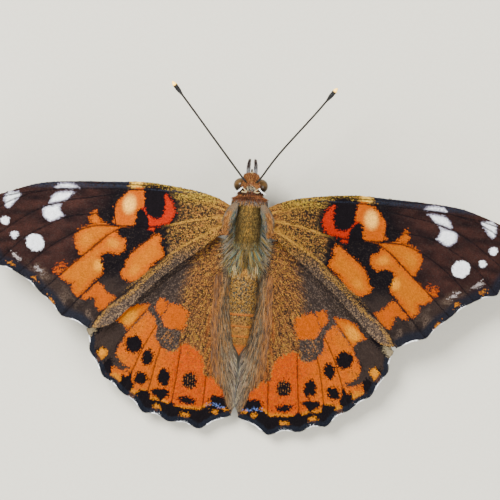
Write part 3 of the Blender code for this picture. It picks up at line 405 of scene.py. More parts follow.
def smooth_line(points, steps, closed=False):
    """Catmull-Rom line: a cubic through each pair of points, its slopes from their neighbours."""
    p = np.asarray(points, float)
    if closed:
        a, b, c, d = np.roll(p, 1, 0), p, np.roll(p, -1, 0), np.roll(p, -2, 0)
    else:
        q = np.vstack([2 * p[0] - p[1], p, 2 * p[-1] - p[-2]])
        a, b, c, d = q[:-3], q[1:-2], q[2:-1], q[3:]
    t = (np.arange(steps) / steps)[None, :, None]
    a, b, c, d = (v[:, None, :] for v in (a, b, c, d))
    line = (2 * b + (c - a) * t + (2 * a - 5 * b + 4 * c - d) * t ** 2
            + (3 * b - a - 3 * c + d) * t ** 3) / 2
    line = line.reshape(-1, p.shape[1])
    return line if closed else np.vstack([line, p[-1:]])


def even_line(line, count):
    """The same line with `count` points at equal distances along it."""
    steps = np.linalg.norm(np.diff(line, axis=0), axis=1)
    length = np.concatenate([[0.0], np.cumsum(steps)])
    at = np.linspace(0.0, length[-1], count)
    return np.stack([np.interp(at, length, line[:, k]) for k in range(line.shape[1])], 1)


def along_line(line, share):
    """Points at shares of the way along an evenly spaced line."""
    at = np.clip(share, 0.0, 1.0) * (len(line) - 1)
    columns = [np.interp(at, np.arange(len(line)), line[:, k]) for k in range(line.shape[1])]
    return np.stack(columns, -1)


def line_distance(points, starts, ends):
    """Distance from each point to the nearest of many straight stretches."""
    best = np.full(len(points), 1e9)
    along = ends - starts
    square = np.maximum((along ** 2).sum(1), 1e-12)
    for first in range(0, len(points), BATCH):
        p = points[first:first + BATCH, None, :] - starts[None]
        share = np.clip((p * along).sum(2) / square, 0.0, 1.0)
        gap = p - share[..., None] * along
        best[first:first + BATCH] = np.sqrt((gap ** 2).sum(2).min(1))
    return best


def within(points, outline):
    """How far each point lies inside a smooth closed outline: the distance to it, negative
    where a line to the right of the point crosses it an even number of times."""
    line = smooth_line(np.reshape(outline, (-1, 2)), 6, closed=True)
    found = np.full(len(points), FAR_OUTSIDE)
    low, high = line.min(0) - 0.6, line.max(0) + 0.6
    near = ((points > low) & (points < high)).all(1).nonzero()[0]
    if not len(near):
        return found
    starts, ends = line, np.roll(line, -1, 0)
    distance = line_distance(points[near], starts, ends)
    sign = np.empty(len(near), bool)
    for first in range(0, len(near), BATCH):
        x, y = points[near[first:first + BATCH]].T[:, :, None]
        spans = (starts[:, 1] > y) != (ends[:, 1] > y)
        slope = (ends[:, 0] - starts[:, 0]) / np.where(
            ends[:, 1] == starts[:, 1], 1e-9, ends[:, 1] - starts[:, 1])
        right = x < starts[:, 0] + (y - starts[:, 1]) * slope
        sign[first:first + BATCH] = (spans & right).sum(1) % 2 == 1
    found[near] = np.where(sign, distance, -distance)
    return found


def spot_depth(points, out, forward, long, wide, turn):
    """How far inside an oval each point lies: one minus its stretched distance, times its size."""
    dx, dy = points[:, 0] - out, points[:, 1] - forward
    x = (dx * math.cos(turn) + dy * math.sin(turn)) / long
    y = (dy * math.cos(turn) - dx * math.sin(turn)) / wide
    return (1.0 - np.hypot(x, y)) * min(long, wide)


def field(x, y, seed):
    """Smooth random field from 0 to 1: lattice values eased from corner to corner."""
    table = np.random.default_rng(seed).random((LATTICE, LATTICE))
    ix, iy = np.floor(x).astype(int), np.floor(y).astype(int)
    tx, ty = ease(x - ix, 0.0, 1.0), ease(y - iy, 0.0, 1.0)
    left, right, near, far = ix % LATTICE, (ix + 1) % LATTICE, iy % LATTICE, (iy + 1) % LATTICE
    a, b, c, d = table[left, near], table[right, near], table[left, far], table[right, far]
    return (a * (1 - tx) + b * tx) * (1 - ty) + (c * (1 - tx) + d * tx) * ty


def ease(value, low, high):
    """Smooth step from 0 at `low` to 1 at `high`; either may be an array."""
    t = np.clip((value - low) / (high - low), 0.0, 1.0)
    return t * t * (3 - 2 * t)


def mix(first, second, share):
    """Blend of two colours, or arrays of colours, by a share at each point."""
    share = np.asarray(share)[..., None]
    return np.asarray(first) * (1 - share) + np.asarray(second) * share


def lay(colour, *layers):
    """Colours laid over one another in order, each given with its share at each point."""
    for tone, share in layers:
        colour = mix(colour, tone, share)
    return colour


def palette():
    """The user's colours by name."""
    colours = bpy.context.scene.butterfly_colours
    names = ButterflyColours.__annotations__
    return SimpleNamespace(**{name: np.array(getattr(colours, name)) for name in names})


def unit(vectors):
    """Vectors divided by their own lengths."""
    return vectors / np.maximum(np.linalg.norm(vectors, axis=-1, keepdims=True), 1e-9)


def spot(side, points):
    """Points of the animal, in millimetres, as places in the model in metres."""
    return (points * (SIDES[side], -1.0, 1.0) + (MIDLINE, -HEAD_ON, 0.0)) * MM


def forewing_spot(side, points):
    """The forewing's points, turned about its hinge and shifted along it as it lies."""
    turn = math.radians(FOREWING_TURN[side])
    a, b = points[..., 0] - HINGE[0], points[..., 1] - HINGE[1]
    out = HINGE[0] + a * math.cos(turn) - b * math.sin(turn)
    forward = HINGE[1] + a * math.sin(turn) + b * math.cos(turn)
    shift = SPAN_SHIFT[side] * ease(out, 8.0, 16.0)
    return spot(side, np.stack([out + shift, forward, points[..., 2]], -1))


def hindwing_spot(side, points):
    """The hindwing's points, stretched a little as that side's wing lies."""
    share = HINDWING_STRETCH[side]
    return spot(side, points * (0.5 + 0.5 * share, share, 1.0))


def body_section(forward):
    """Half width, half height and centre height of the solid body, by cubics along it."""
    rows = np.array(BODY)[::-1]
    place, values = rows[:, 0], rows[:, 1:]
    slopes = np.gradient(values, place, axis=0)
    i = np.clip(np.searchsorted(place, forward) - 1, 0, len(place) - 2)
    span = (place[i + 1] - place[i])[..., None]
    t = np.clip((forward - place[i])[..., None] / span, 0.0, 1.0)
    return ((2 * t ** 3 - 3 * t ** 2 + 1) * values[i] + (t ** 3 - 2 * t ** 2 + t) * span * slopes[i]
            + (3 * t ** 2 - 2 * t ** 3) * values[i + 1] + (t ** 3 - t ** 2) * span * slopes[i + 1])


def skin_section(forward):
    """Half width, half height and centre height of the skin: the body's section less the
    coat's depth, or the head's ball or the neck where larger, stepped at each ring."""
    depth = bpy.context.scene.butterfly_coat.depth * (0.5 + 0.5 * ease(forward, -3.0, -1.5))
    body = body_section(np.minimum(forward, BODY[0][0]))
    swell = np.zeros_like(forward)
    edges = (-2.28, *SEGMENT_RINGS, BODY[-1][0])
    for front, back in zip(edges, edges[1:]):
        share = (forward - front) / (back - front)
        swell = np.where((share >= 0) & (share < 1), 0.05 * np.sin(0.5 * math.pi * share), swell)
    shrink = ease(forward, 6.75, 6.2)
    width = (body[..., 0] * (1 + swell) - depth) * shrink
    height = (body[..., 1] * (1 + swell) - depth) * shrink
    tail = np.sqrt(np.clip((forward + 12.5) / 1.2, 0.0, 1.0))
    width, height = np.maximum(width, 0.02) * tail, np.maximum(height, 0.02) * tail
    along = (forward - HEAD_CENTRE[1]) / (HEAD_RADII[1] - 0.1)
    ball = np.sqrt(np.clip(1.0 - along ** 2, 0.0, 1.0))
    neck = ease(forward, 5.9, 6.3) * ease(forward, 7.4, 7.0)
    wide = np.maximum(np.maximum(width, (HEAD_RADII[0] - 0.14) * ball), 1.45 * neck)
    high = np.maximum(np.maximum(height, (HEAD_RADII[2] - 0.04) * ball), 1.20 * neck)
    centre = mix(body[..., 2:3], np.full_like(body[..., 2:3], HEAD_CENTRE[2]),
                 ease(forward, 5.6, 7.0))[..., 0]
    return wide, high, centre


def skin_point(forward, angle):
    """Point of the skin and its outward normal: an ellipse about the body's middle line,
    squarer at the head by a power of its cosine and sine."""
    wide, high, centre = skin_section(forward)
    power = 1.0 - 0.30 * ease(forward, 6.8, 7.2)
    cosine, sine = np.cos(angle), np.sin(angle)
    out = wide * np.sign(cosine) * np.abs(cosine) ** power
    up = centre + high * np.sign(sine) * np.abs(sine) ** power
    ahead, behind = skin_section(forward + 0.05), skin_section(forward - 0.05)
    slope = ((ahead[0] - behind[0]) * cosine ** 2 + (ahead[1] - behind[1]) * sine ** 2) / 0.1
    slope = np.clip(slope, -1.5, 1.5)
    normal = unit(np.stack([cosine / np.maximum(wide, 0.05), np.zeros_like(slope),
                            sine / np.maximum(high, 0.05)], -1))
    normal[..., 1] = -slope
    return np.stack([out, forward, up], -1), unit(normal)


class Wing:
    """One wing as a surface of two parameters.

    `at(u, v)` blends its four edges (a Coons patch): u runs from the root to the outer
    margin and v from the inner edge to the front edge.
    """

    def __init__(self, kind, edges, veins):
        self.kind, self.name, self.ends = kind, f"{kind}wing", np.array(edges["ends"])
        self.slot = f"{self.name}_scales"
        margin = []
        for start, end, depth in zip(self.ends, self.ends[1:], edges["bays"]):
            share = np.linspace(0.0, 1.0, 13)[:-1, None]
            inward = unit(np.array([start[1] - end[1], end[0] - start[0]]))
            margin.append(start + (end - start) * share + inward * depth * np.sin(math.pi * share) ** 2)
        self.margin = even_line(np.vstack([*margin, self.ends[-1:]]), 260)
        self.inner = even_line(smooth_line(edges["inner"], 12), 200)
        self.costa = even_line(smooth_line(edges["costa"], 12), 200)
        self.root = even_line(np.array([edges["inner"][0], edges["costa"][0]]), 20)
        lines = [even_line(smooth_line(v, 8), 24) for v in veins]
        self.vein_starts = np.vstack([line[:-1] for line in lines])
        self.vein_ends = np.vstack([line[1:] for line in lines])
        self.low = np.minimum(self.margin.min(0), self.costa.min(0)) - 1.0
        self.high = np.maximum(self.margin.max(0), self.costa.max(0)) + 1.0

    def at(self, u, v):
        """Point of the patch, as out and forward."""
        inner, costa = along_line(self.inner, u), along_line(self.costa, u)
        root, margin = along_line(self.root, v), along_line(self.margin, v)
        u, v = u[..., None], v[..., None]
        corners = ((1 - u) * (1 - v) * self.inner[0] + (1 - u) * v * self.costa[0]
                   + u * (1 - v) * self.inner[-1] + u * v * self.costa[-1])
        return (1 - v) * inner + v * costa + (1 - u) * root + u * margin - corners

    def outward(self, u, v):
        """Direction in which the rows of scales point: the patch's slope along u."""
        return unit(self.at(np.minimum(u + 0.01, 1.0), v) - self.at(np.maximum(u - 0.01, 0.0), v))

    def sheet(self, points):
        """Height of the wing's middle: a plane that rises outwards and then droops."""
        out, forward = points[..., 0], points[..., 1]
        droop = SHEET["droop"] * np.maximum(0.0, out - SHEET["start"]) ** 2
        return (SHEET["height"] + SHEET["pitch"] * (forward - 1.0)
                + SHEET["rise"] * (out - 3.0) - droop + LAYER[self.kind])

    def relief(self, points):
        """Rise of the upper face above the middle (half the thickness, a bell-shaped ridge
        and fold at each vein, and a wave), and the distance to the nearest vein."""
        sizes = bpy.context.scene.butterfly_wings
        flat = points.reshape(-1, 2)
        near = line_distance(flat, self.vein_starts, self.vein_ends).reshape(points.shape[:-1])
        thin = np.clip(1.25 - 0.025 * points[..., 0], 0.6, 1.2)
        ridge = sizes.vein_rise * thin * np.exp(-(near / (sizes.vein_width * thin)) ** 2)
        fold = 0.07 * np.exp(-(near / 0.55) ** 2)
        wave = 0.05 * field(points[..., 0] * 0.9, points[..., 1] * 0.9, 5)
        return sizes.half_thickness + ridge + fold + wave, near

    def top(self, points):
        """Height of the upper face."""
        return self.relief(points)[0] + self.sheet(points)

    def rim_depth(self, points):
        """Distance from each point to the outer margin."""
        return line_distance(points, self.margin[:-1], self.margin[1:])

    def place(self, side, points):
        """Places in the model, as this kind of wing lies on each side."""
        return WING_SPOTS[self.kind](side, points)

    def upper(self, points, near, tints, rng, rough=1.0):
        """Colours of the upper side."""
        return UPPER[self.kind](self, points, near, tints, rng, rough)

    def unwrap(self, points):
        """Place on the wing's flat unwrap, from 0.02 to 0.98."""
        return 0.02 + 0.96 * (points - self.low) / (self.high - self.low).max()


def pick(tints, names, shares, dice):
    """One of several named colours for each point, by where its dice falls in the shares."""
    table = np.array([getattr(tints, name) for name in names.split()])
    return table[np.searchsorted(np.cumsum(shares)[:-1], dice)]


def clumped(points, rng, size=0.12, own=4.0):
    """Even random numbers from 0 to 1, alike in clumps: the ranks of a fine random field
    plus a random number of each point's own."""
    value = field(points[:, 0] / size, points[:, 1] / size, 61) + own * rng.random(len(points))
    return value.argsort().argsort() / len(points)


def streaks(points, root, fine, seed):
    """Streaks that fan out from the wing's root: a field of distance and angle about it."""
    d = points - np.array(root)
    angle = np.arctan2(d[:, 1], d[:, 0])
    return field(np.hypot(d[:, 0], d[:, 1]) / 1.4, angle * fine, seed)


def lay_marks(points, colour, marks, ovals, tints, rng, rough, glows=()):
    """Lay markings over a ground colour, each edge moved by soft waves, by streaks along the
    rows of scales and by a random step of each scale. Glows only show on bright patches."""
    wander = (field(points[:, 0] * 2.6, points[:, 1] * 2.6, 31) - 0.5) * 0.5
    wander += (field(points[:, 0] * 7.0, points[:, 1] * 7.0, 32) - 0.5) * 0.7
    comb = (streaks(points, (2.0, 2.0), 85.0, 33) - 0.5) * 3.0
    loose = rng.normal(0.0, 1.0, len(points)) * rough
    shift = wander + comb * rough + loose * 1.3
    for edge, middle, far, ragged, outline in marks:
        grow = 0.08 if edge in ("dark", "umber") else 0.0
        depth = within(points, outline) + grow + shift * ragged
        inner = mix(getattr(tints, edge), getattr(tints, middle), ease(depth, far * 0.3, far + 0.6))
        colour = mix(colour, inner, ease(depth, -0.02, 0.04))
    bright = ease(colour[:, 0], 0.2, 0.35)
    for name, *oval, strength in glows:
        glow = ease(spot_depth(points, *oval) / min(oval[2:4]), 0, 0.7)
        colour = mix(colour, getattr(tints, name), glow * bright * strength)
    for name, *oval in ovals:
        depth = spot_depth(points, *oval) + shift * (0.045 if name == "white" else 0.09)
        layer = tints.dark if name == "streaked" else getattr(tints, name)
        if name == "streaked":
            line = np.abs(np.sin((points[:, 0] - 0.03 * points[:, 1]) * 11.0))
            layer = mix(layer, tints.rust_light, ease(line, 0.35, 0.1) * 0.8)
        if name == "white":
            layer = mix(tints.lilac, layer, ease(depth, -0.02, 0.10))
        colour = mix(colour, layer, ease(depth, -0.02, 0.04))
    return colour


def lay_veins(colour, near, share, tints):
    """Thin dark lines along the veins, thinner where the ground is dark."""
    bright = ease(colour[:, 0], 0.06, 0.16)
    return mix(colour, tints.dark, ease(near, 0.07 + 0.04 * bright, 0.03) * share)


def forewing_upper(wing, points, near, tints, rng, rough):
    """Colours of the forewing's upper side at points of it."""
    out, forward = points.T
    dice = clumped(points, rng)
    cloud = field(out * 1.3, forward * 1.3, 11)
    rays = streaks(points, (2.0, 4.0), 42.0, 15)
    brown = ease(out + 0.35 * forward, 17.5, 21.5) * (0.05 + 0.4 * cloud + 0.8 * rays)
    slate = ease(forward + 0.05 * out, 6.9, 7.4) * ease(out, 13.5, 14.5)
    rim = wing.rim_depth(points)
    smudge = ease(rim, 2.6, 1.5) * ease(rim, 0.6, 1.1) * ease(cloud, 0.35, 0.7) * (dice > 0.35)
    colour = lay(
        tints.dark,
        (tints.tip, np.clip(brown, 0.0, 1.3)),
        (tints.umber, ease(forward, -3.0, -5.5) * (0.3 + 0.7 * rays)),
        # Blue black along the front edge, partly a painted blue-grey sheen
        (tints.navy * 1.9, slate * 0.8 * (dice < 0.75)),
        (tints.taupe_dark, (dice > 0.84) * 0.5),
        # Blue black band along the margin, partly a painted blue-grey sheen
        (tints.navy, ease(rim, 1.3, 0.5) * 0.85),
        (tints.taupe, smudge * 0.9 * ease(out, 27.0, 24.0)))
    base = within(points, FOREWING_BASE)
    base += (streaks(points, (2.0, 4.0), 26.0, 13) - 0.5) * 0.6 + (dice - 0.5) * 0.7 * rough
    grain = streaks(points, (2.0, 4.0), 90.0, 14)
    front = ease(forward, 4.6, 6.0)
    level = np.clip(dice + (grain - 0.5) * 0.3 + 0.14 * ease(out, 5.5, 9.0)
                    + 0.10 * ease(forward, 2.0, 4.0) * (1 - front), 0, 0.999)
    gold = lay(
        pick(tints, "gold_light rust_light gold gold_dark", (0.22, 0.14, 0.26, 0.38), level),
        (pick(tints, "straw gold_light gold gold_dark", (0.42, 0.10, 0.22, 0.26), level), front),
        (tints.ginger * 1.3, ease(out, 4.2, 2.8) * (dice < 0.6) * 0.8))
    taupe = pick(tints, "taupe_light taupe taupe_dark", (0.34, 0.46, 0.20), level)
    taupe = taupe * (0.72 + 0.28 * ease(forward, -4.5, -7.5))[:, None]
    strip = ease(np.abs(base - 0.25), 0.4, 0.1) * ease(forward, -0.5, -2.0) * (dice < 0.5)
    colour = lay(
        colour,
        (mix(gold, taupe, ease(forward, 1.0, -2.5)), ease(base, -0.15, 0.2)),
        (gold, ease(forward, 6.3, 6.5) * ease(out, 14.4, 13.9)),
        (tints.gold_light, strip * 0.8))
    colour = lay_marks(points, colour, FOREWING_MARKS, FOREWING_SPOTS, tints, rng, rough,
                       FOREWING_GLOWS)
    edge = ease(np.abs(forward - 6.35), 0.16, 0.06) * ease(out, 13.5, 12.0) * ease(out, 4.0, 6.0)
    # Blue black line along the front edge of the base, partly a painted blue-grey sheen
    colour = mix(colour, tints.navy * 2.0, edge * (level > 0.45) * 0.8)
    colour = lay_veins(colour, near, ease(out, 8.5, 10.0) * 0.85, tints)
    ridges = ease(near, 0.16, 0.08) * ease(out, 10.5, 8.0) * ease(forward, 5.6, 4.6)
    ridges = np.maximum(ridges, ease(near, 0.13, 0.06) * ease(forward, -0.5, -2.0)
                        * ease(base, 0.3, 0.6))
    return mix(colour, tints.gold_light * 1.1, ridges * (dice < 0.85) * 0.75)


def hindwing_upper(wing, points, near, tints, rng, rough):
    """Colours of the hindwing's upper side at points of it."""
    root = (1.5, -0.5)
    out, forward = points.T
    dice = clumped(points, rng)
    grain = streaks(points, root, 80.0, 21)
    fine = streaks(points, root, 150.0, 24)
    level = np.clip(dice + (grain - 0.5) * 0.4 + (fine - 0.5) * 0.5, 0, 0.999)
    rim = wing.rim_depth(points)
    band = ease(out, 2.2, 2.8) * ease(out, 4.4, 3.6) * ease(forward, -6.0, -9.0)
    colour = lay(
        pick(tints, "hair_light hair hair_dark", (0.25, 0.45, 0.30), level),
        (pick(tints, "gold_light rust_light rust gold_dark", (0.09, 0.20, 0.44, 0.27), level),
         ease(out - 0.10 * forward, 2.2, 3.4)),
        (tints.rust_light * (1.0, 0.72, 0.6),
         band * ease(streaks(points, root, 60.0, 23), 0.45, 0.75) * 0.65),
        (pick(tints, "taupe taupe_dark umber", (0.24, 0.40, 0.36), level),
         ease(out + 0.25 * forward + (grain - 0.5) * 1.4, 4.6, 6.6)),
        (tints.dark, ease(rim, 3.4, 2.6)))
    depth = within(points, HINDWING_FIELD)
    depth += (field(out * 3, forward * 3, 22) - 0.5) * 0.15 + (dice - 0.5) * 0.35 * rough
    depth += (streaks(points, (2.0, 2.0), 85.0, 33) - 0.5) * 0.3 * rough
    band = 0.32 + 1.05 * ease(out, 12.3, 10.6) + 0.35 * ease(out, 6.2, 4.2)
    depth = np.minimum(depth, rim - band + (dice - 0.5) * 0.25)
    warm = lay(
        tints.orange * 1.12,
        (tints.deep_orange, ease(out, 10.0, 6.6)),
        (tints.yellow, ease(rim - band, 0.5, 0.15) * 0.85),
        (tints.rust, (dice < 0.10) * 0.7),
        (tints.amber, (dice > 0.86) * 0.5))
    colour = mix(colour, warm, ease(depth, -0.05, 0.06))
    colour = lay_marks(points, colour, HINDWING_MARKS, HINDWING_SPOTS, tints, rng, rough,
                       HINDWING_GLOWS)
    patch = within(points, HINDWING_MARKS[2][4])
    corner = spot_depth(points, 17.7, -10.8, 1.2, 0.6, -0.8) + (dice - 0.5) * 0.5 * rough
    colour = lay(
        colour,
        (pick(tints, "rust_light taupe taupe_dark", (0.10, 0.33, 0.57), level),
         ease(patch + (dice - 0.5) * 0.3, 0.0, 0.05)),
        # Blue black band along the margin, partly a painted blue-grey sheen
        (tints.navy, ease(rim + rng.normal(0, 0.04, len(out)), 0.50, 0.35) * 0.9),
        (tints.pale, ease(corner, 0.0, 0.3) * 0.9))
    return lay_veins(colour, near, 0.75 * ease(depth, -0.8, 0.1), tints)


def forewing_under(wing, points, near, tints, rng):
    """Colours of the forewing's underside: rose orange, with an olive tip and white spots."""
    out, forward = points.T
    dice = rng.random(len(out))
    tip = mix(tints.marble, tints.pale, ease(field(out * 1.8, forward * 1.8, 41), 0.4, 0.8))
    colour = lay(
        tints.pale,
        (tints.rose, ease(out, 5.0, 8.0) * ease(out, 24.0, 19.0)),
        (tip, ease(out + 0.3 * forward, 21.0, 23.0)))
    dark_marks = [m for m in FOREWING_MARKS if m[0] == "dark" or m[1] == "white"]
    colour = lay_marks(points, colour, dark_marks, FOREWING_SPOTS[:3], tints, rng, 0.3)
    band = ease(np.abs(out + 0.45 * forward - 19.6), 1.2, 0.6) * ease(forward, 3.0, 1.0)
    rim = wing.rim_depth(points)
    return lay(
        colour,
        (tints.dark, band * 0.85),
        (tints.marble, ease(rim, 1.4, 0.9)),
        (tints.pale, ease(np.abs(rim - 0.8), 0.18, 0.08)),
        (tints.marble_dark, (dice < 0.12) * 0.5),
        (tints.pale, ease(near, 0.16, 0.06) * 0.7))


def hindwing_under(wing, points, near, tints, rng):
    """Colours of the hindwing's underside: a brown and white marble with pale veins and a
    row of five ringed spots before the margin."""
    out, forward = points.T
    dice = rng.random(len(out))
    cloud = field(out * 0.95 + 3, forward * 0.95, 42) + 0.35 * field(out * 3, forward * 3, 43)
    rim = wing.rim_depth(points)
    colour = lay(
        tints.marble_dark,
        (tints.marble, ease(cloud, 0.35, 0.6)),
        (tints.pale, ease(cloud, 0.68, 0.86)),
        (mix(tints.marble, tints.pale, 0.35 + 0.3 * dice), ease(rim, 5.0, 4.2)))
    for x, y, size in ((12.4, -12.0, 0.95), (10.75, -13.5, 0.75), (11.5, -16.0, 0.6),
                       (8.6, -15.6, 0.95), (5.55, -15.9, 0.9)):
        reach = np.hypot(out - x, forward - y) / size
        colour = lay(
            colour,
            (tints.dark, ease(reach, 1.25, 1.15)), (tints.yellow, ease(reach, 1.08, 1.0)),
            (tints.dark, ease(reach, 0.72, 0.66)), (tints.blue, ease(reach, 0.34, 0.24)))
    return lay(
        colour,
        (tints.marble_dark, ease(np.abs(rim - 1.9), 0.4, 0.2) * 0.7),
        (tints.blue, ease(np.abs(rim - 1.35), 0.2, 0.1) * 0.5),
        (tints.pale, ease(rim, 1.0, 0.8)),
        (tints.marble_dark, ease(np.abs(rim - 0.45), 0.12, 0.05)),
        (tints.pale, ease(near, 0.18, 0.07) * 0.8))


WING_SPOTS = {"fore": forewing_spot, "hind": hindwing_spot}
UPPER = {"fore": forewing_upper, "hind": hindwing_upper}
UNDER = {"fore": forewing_under, "hind": hindwing_under}


def thorax_colour(forward, across, dice, slip, tints):
    """Colours of the thorax: an olive shield, paler tufts beside it and a fan behind."""
    level = dice + ease(across, 0.7, 1.55) * 0.42 - 0.12 * ease(across, 0.6, 0.2)
    shield = pick(tints, "gold_light olive_light olive olive_dark", (0.06, 0.22, 0.40, 0.32),
                  np.clip(level, 0, 0.999))
    tufts = pick(tints, "hair_light grey teal_light olive_dark", (0.34, 0.24, 0.20, 0.22), dice)
    patch = ease(np.abs(forward - 4.3), 1.3, 0.7) * 0.75
    tufts = mix(tufts, pick(tints, "teal_light teal", (0.6, 0.4), dice), patch)
    fan = pick(tints, "olive_light teal_light grey olive_dark", (0.44, 0.14, 0.18, 0.24), dice)
    return lay(
        shield,
        (tufts, ease(across + slip, 1.50, 1.70)),
        (fan, ease(forward + slip * 2, 1.3, 0.4) * (0.5 + 0.5 * ease(across, 0.3, 1.0))))


def abdomen_colour(forward, dice, slip, tints):
    """Colours of the abdomen: specks that turn warmer backwards, with a bright line at the
    back of each segment."""
    nearest = np.abs(forward[..., None] - 0.12 - np.array(SEGMENT_RINGS[3:])).min(-1)
    return lay(
        pick(tints, "gold_light gold teal rust dark", (0.27, 0.10, 0.13, 0.08, 0.42), dice),
        (pick(tints, "gold_light rust_light dark", (0.30, 0.28, 0.42), dice),
         ease(forward, -3.4, -2.9)),
        (pick(tints, "gold_light rust_light rust dark", (0.24, 0.28, 0.2, 0.28), dice),
         ease(forward + slip * 2, -7.6, -9.4)),
        (mix(tints.orange, tints.rust_light, 0.6), ease(nearest, 0.09, 0.05) * 0.9),
        (mix(tints.deep_orange, tints.rust_light, dice), ease(forward, -11.2, -11.8) * 0.85))


def collar_colour(forward, across, dice, slip, tints):
    """Colours of the collar: red brown in front and greyer behind."""
    front = mix(pick(tints, "collar collar_dark ginger", (0.5, 0.3, 0.2), dice),
                tints.collar_dark, ease(across, 1.0, 0.2) * (dice < 0.7) * 0.8)
    hind = pick(tints, "grey collar_dark tan hair_dark", (0.34, 0.2, 0.22, 0.24), dice)
    return mix(hind, front, ease(forward + slip * 0.6, 6.0, 6.15))


def face_colour(forward, across, top, dice, tints):
    """Colours of the head: a speckled crown, painted shade in the hollow beside it, a dark nape
    and a pale underside."""
    plan = np.stack([across.ravel(), forward.ravel()], -1)
    crown = spot_depth(plan, 0.0, 7.45, 0.42, 0.34, 0.0).reshape(across.shape)
    hollow = spot_depth(plan, 0.92, 7.22, 0.42, 0.26, -0.7).reshape(across.shape)
    return lay(
        pick(tints, "tan ginger dark collar", (0.18, 0.24, 0.26, 0.32), dice),
        (pick(tints, "belly grey dark", (0.25, 0.40, 0.35), dice), ease(crown, -0.02, 0.08)),
        # Painted shade in the hollow beside the crown
        (tints.dark, ease(hollow, -0.02, 0.06) * 0.9),
        (tints.hair_dark, ease(np.abs(forward - 6.90), 0.20, 0.1) * (dice < 0.6)),
        (tints.belly, ease(top, -0.1, -0.6)))


def body_colour(forward, angle, tints, rng):
    """Colours of the head, collar, thorax and abdomen by place along and round the body."""
    forward, angle = np.broadcast_arrays(forward, angle)
    top = np.sin(angle)
    across = (skin_section(forward)[0] + 0.12) * np.abs(np.cos(angle))
    dice = rng.random(top.shape)
    slip = (dice - 0.5) * 0.3
    return lay(
        thorax_colour(forward, across, dice, slip, tints),
        (abdomen_colour(forward, dice, slip, tints), ease(forward + slip * 3, -1.7, -2.6)),
        (collar_colour(forward, across, dice, slip, tints),
         ease(forward + slip * 0.5, 5.5, 5.62)),
        (face_colour(forward, across, top, dice, tints), ease(forward, 6.6, 6.72)),
        (mix(tints.belly, tints.taupe, (dice < 0.25) * 0.5), ease(top + slip * 0.6, -0.15, -0.5)))


def inside_out(points, faces):
    """Whether the faces point inwards: the sum of their triple products is below zero."""
    volume = 0.0
    for f in faces:
        first = points[f[:, 0]]
        for k in range(1, f.shape[1] - 1):
            volume += np.einsum("ij,ij->i", first, np.cross(points[f[:, k]], points[f[:, k + 1]])).sum()
    return volume < 0


def add_piece(name, points, faces, paint, material, bake=None, replaces=()):
    """One finished mesh object at the origin, its faces (arrays of index rows) pointing
    outwards, with a colour and, for a coat, a place on the OFBake map at each point."""
    if inside_out(points, faces):
        faces = [f[:, ::-1] for f in faces]
    loops = np.concatenate([f.ravel() for f in faces]).astype(np.int32)
    sizes = np.concatenate([np.full(len(f), f.shape[1]) for f in faces])
    starts = np.concatenate([[0], np.cumsum(sizes)[:-1]])
    mesh = bpy.data.meshes.new(name)
    mesh.vertices.add(len(points))
    mesh.vertices.foreach_set("co", points.astype(np.float32).ravel())
    mesh.loops.add(len(loops))
    mesh.loops.foreach_set("vertex_index", loops)
    mesh.polygons.add(len(sizes))
    mesh.polygons.foreach_set("loop_start", starts.astype(np.int32))
    mesh.update(calc_edges=True)
    layer = mesh.color_attributes.new(name="markings", type="FLOAT_COLOR", domain="POINT")
    rgba = np.concatenate([np.clip(paint, 0, 1), np.ones((len(paint), 1))], 1)
    layer.data.foreach_set("color", rgba.astype(np.float32).ravel())
    if bake is not None:
        layer = mesh.uv_layers.new(name="OFBake")
        layer.data.foreach_set("uv", bake[loops].astype(np.float32).ravel())
    mesh.validate()
    mesh.materials.append(material)
    thing = bpy.data.objects.new(name, mesh)
    bpy.context.scene.collection.objects.link(thing)
    if replaces:
        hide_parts(*replaces)
    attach(thing, "root")
    return thing


def grid_faces(rows, columns, first=0, closed=False):
    """Four-sided faces between the neighbours of a grid, joined round its rows if closed."""
    index = np.arange(rows * columns).reshape(rows, columns) + first
    if closed:
        index = np.concatenate([index, index[:, :1]], 1)
    return np.stack([index[:-1, :-1], index[:-1, 1:], index[1:, 1:], index[1:, :-1]], -1).reshape(-1, 4)


def tube_faces(rows, columns, first=0):
    """The faces of a closed tube of rings, with one face over each end."""
    ends = np.arange(columns) + first
    return [grid_faces(rows, columns, first, closed=True), ends[None, ::-1],
            ends[None] + (rows - 1) * columns]


def ring_piece(name, side, rings, paint, material, replaces):
    """A closed tube of rings, from animal millimetres to the model."""
    world = spot(side, rings.reshape(-1, 3))
    paint = np.broadcast_to(paint, rings.shape).reshape(-1, 3)
    return add_piece(name, world, tube_faces(*rings.shape[:2]), paint, material,
                     replaces=replaces)


def circle(count):
    """Evenly spaced angles of a whole turn."""
    return np.linspace(0.0, 2 * math.pi, count, endpoint=False)


def rings_along(path, radii, sides, across=None):
    """Rings of points round a path and square to it. Unless it is given, their sideways
    direction is the cross product of the path's with the upright, so they don't twist."""
    path = np.asarray(path)
    along = unit(np.gradient(path, axis=0))
    if across is None:
        across = unit(np.cross(along, np.array([0.0, 0.0, 1.0]) + 1e-4))
    above = np.cross(unit(across), along)
    angle = circle(sides)[None, :, None]
    radii = np.asarray(radii)[:, None, None]
    return (path[:, None] + radii * np.cos(angle) * across[:, None]
            + radii * np.sin(angle) * above[:, None])


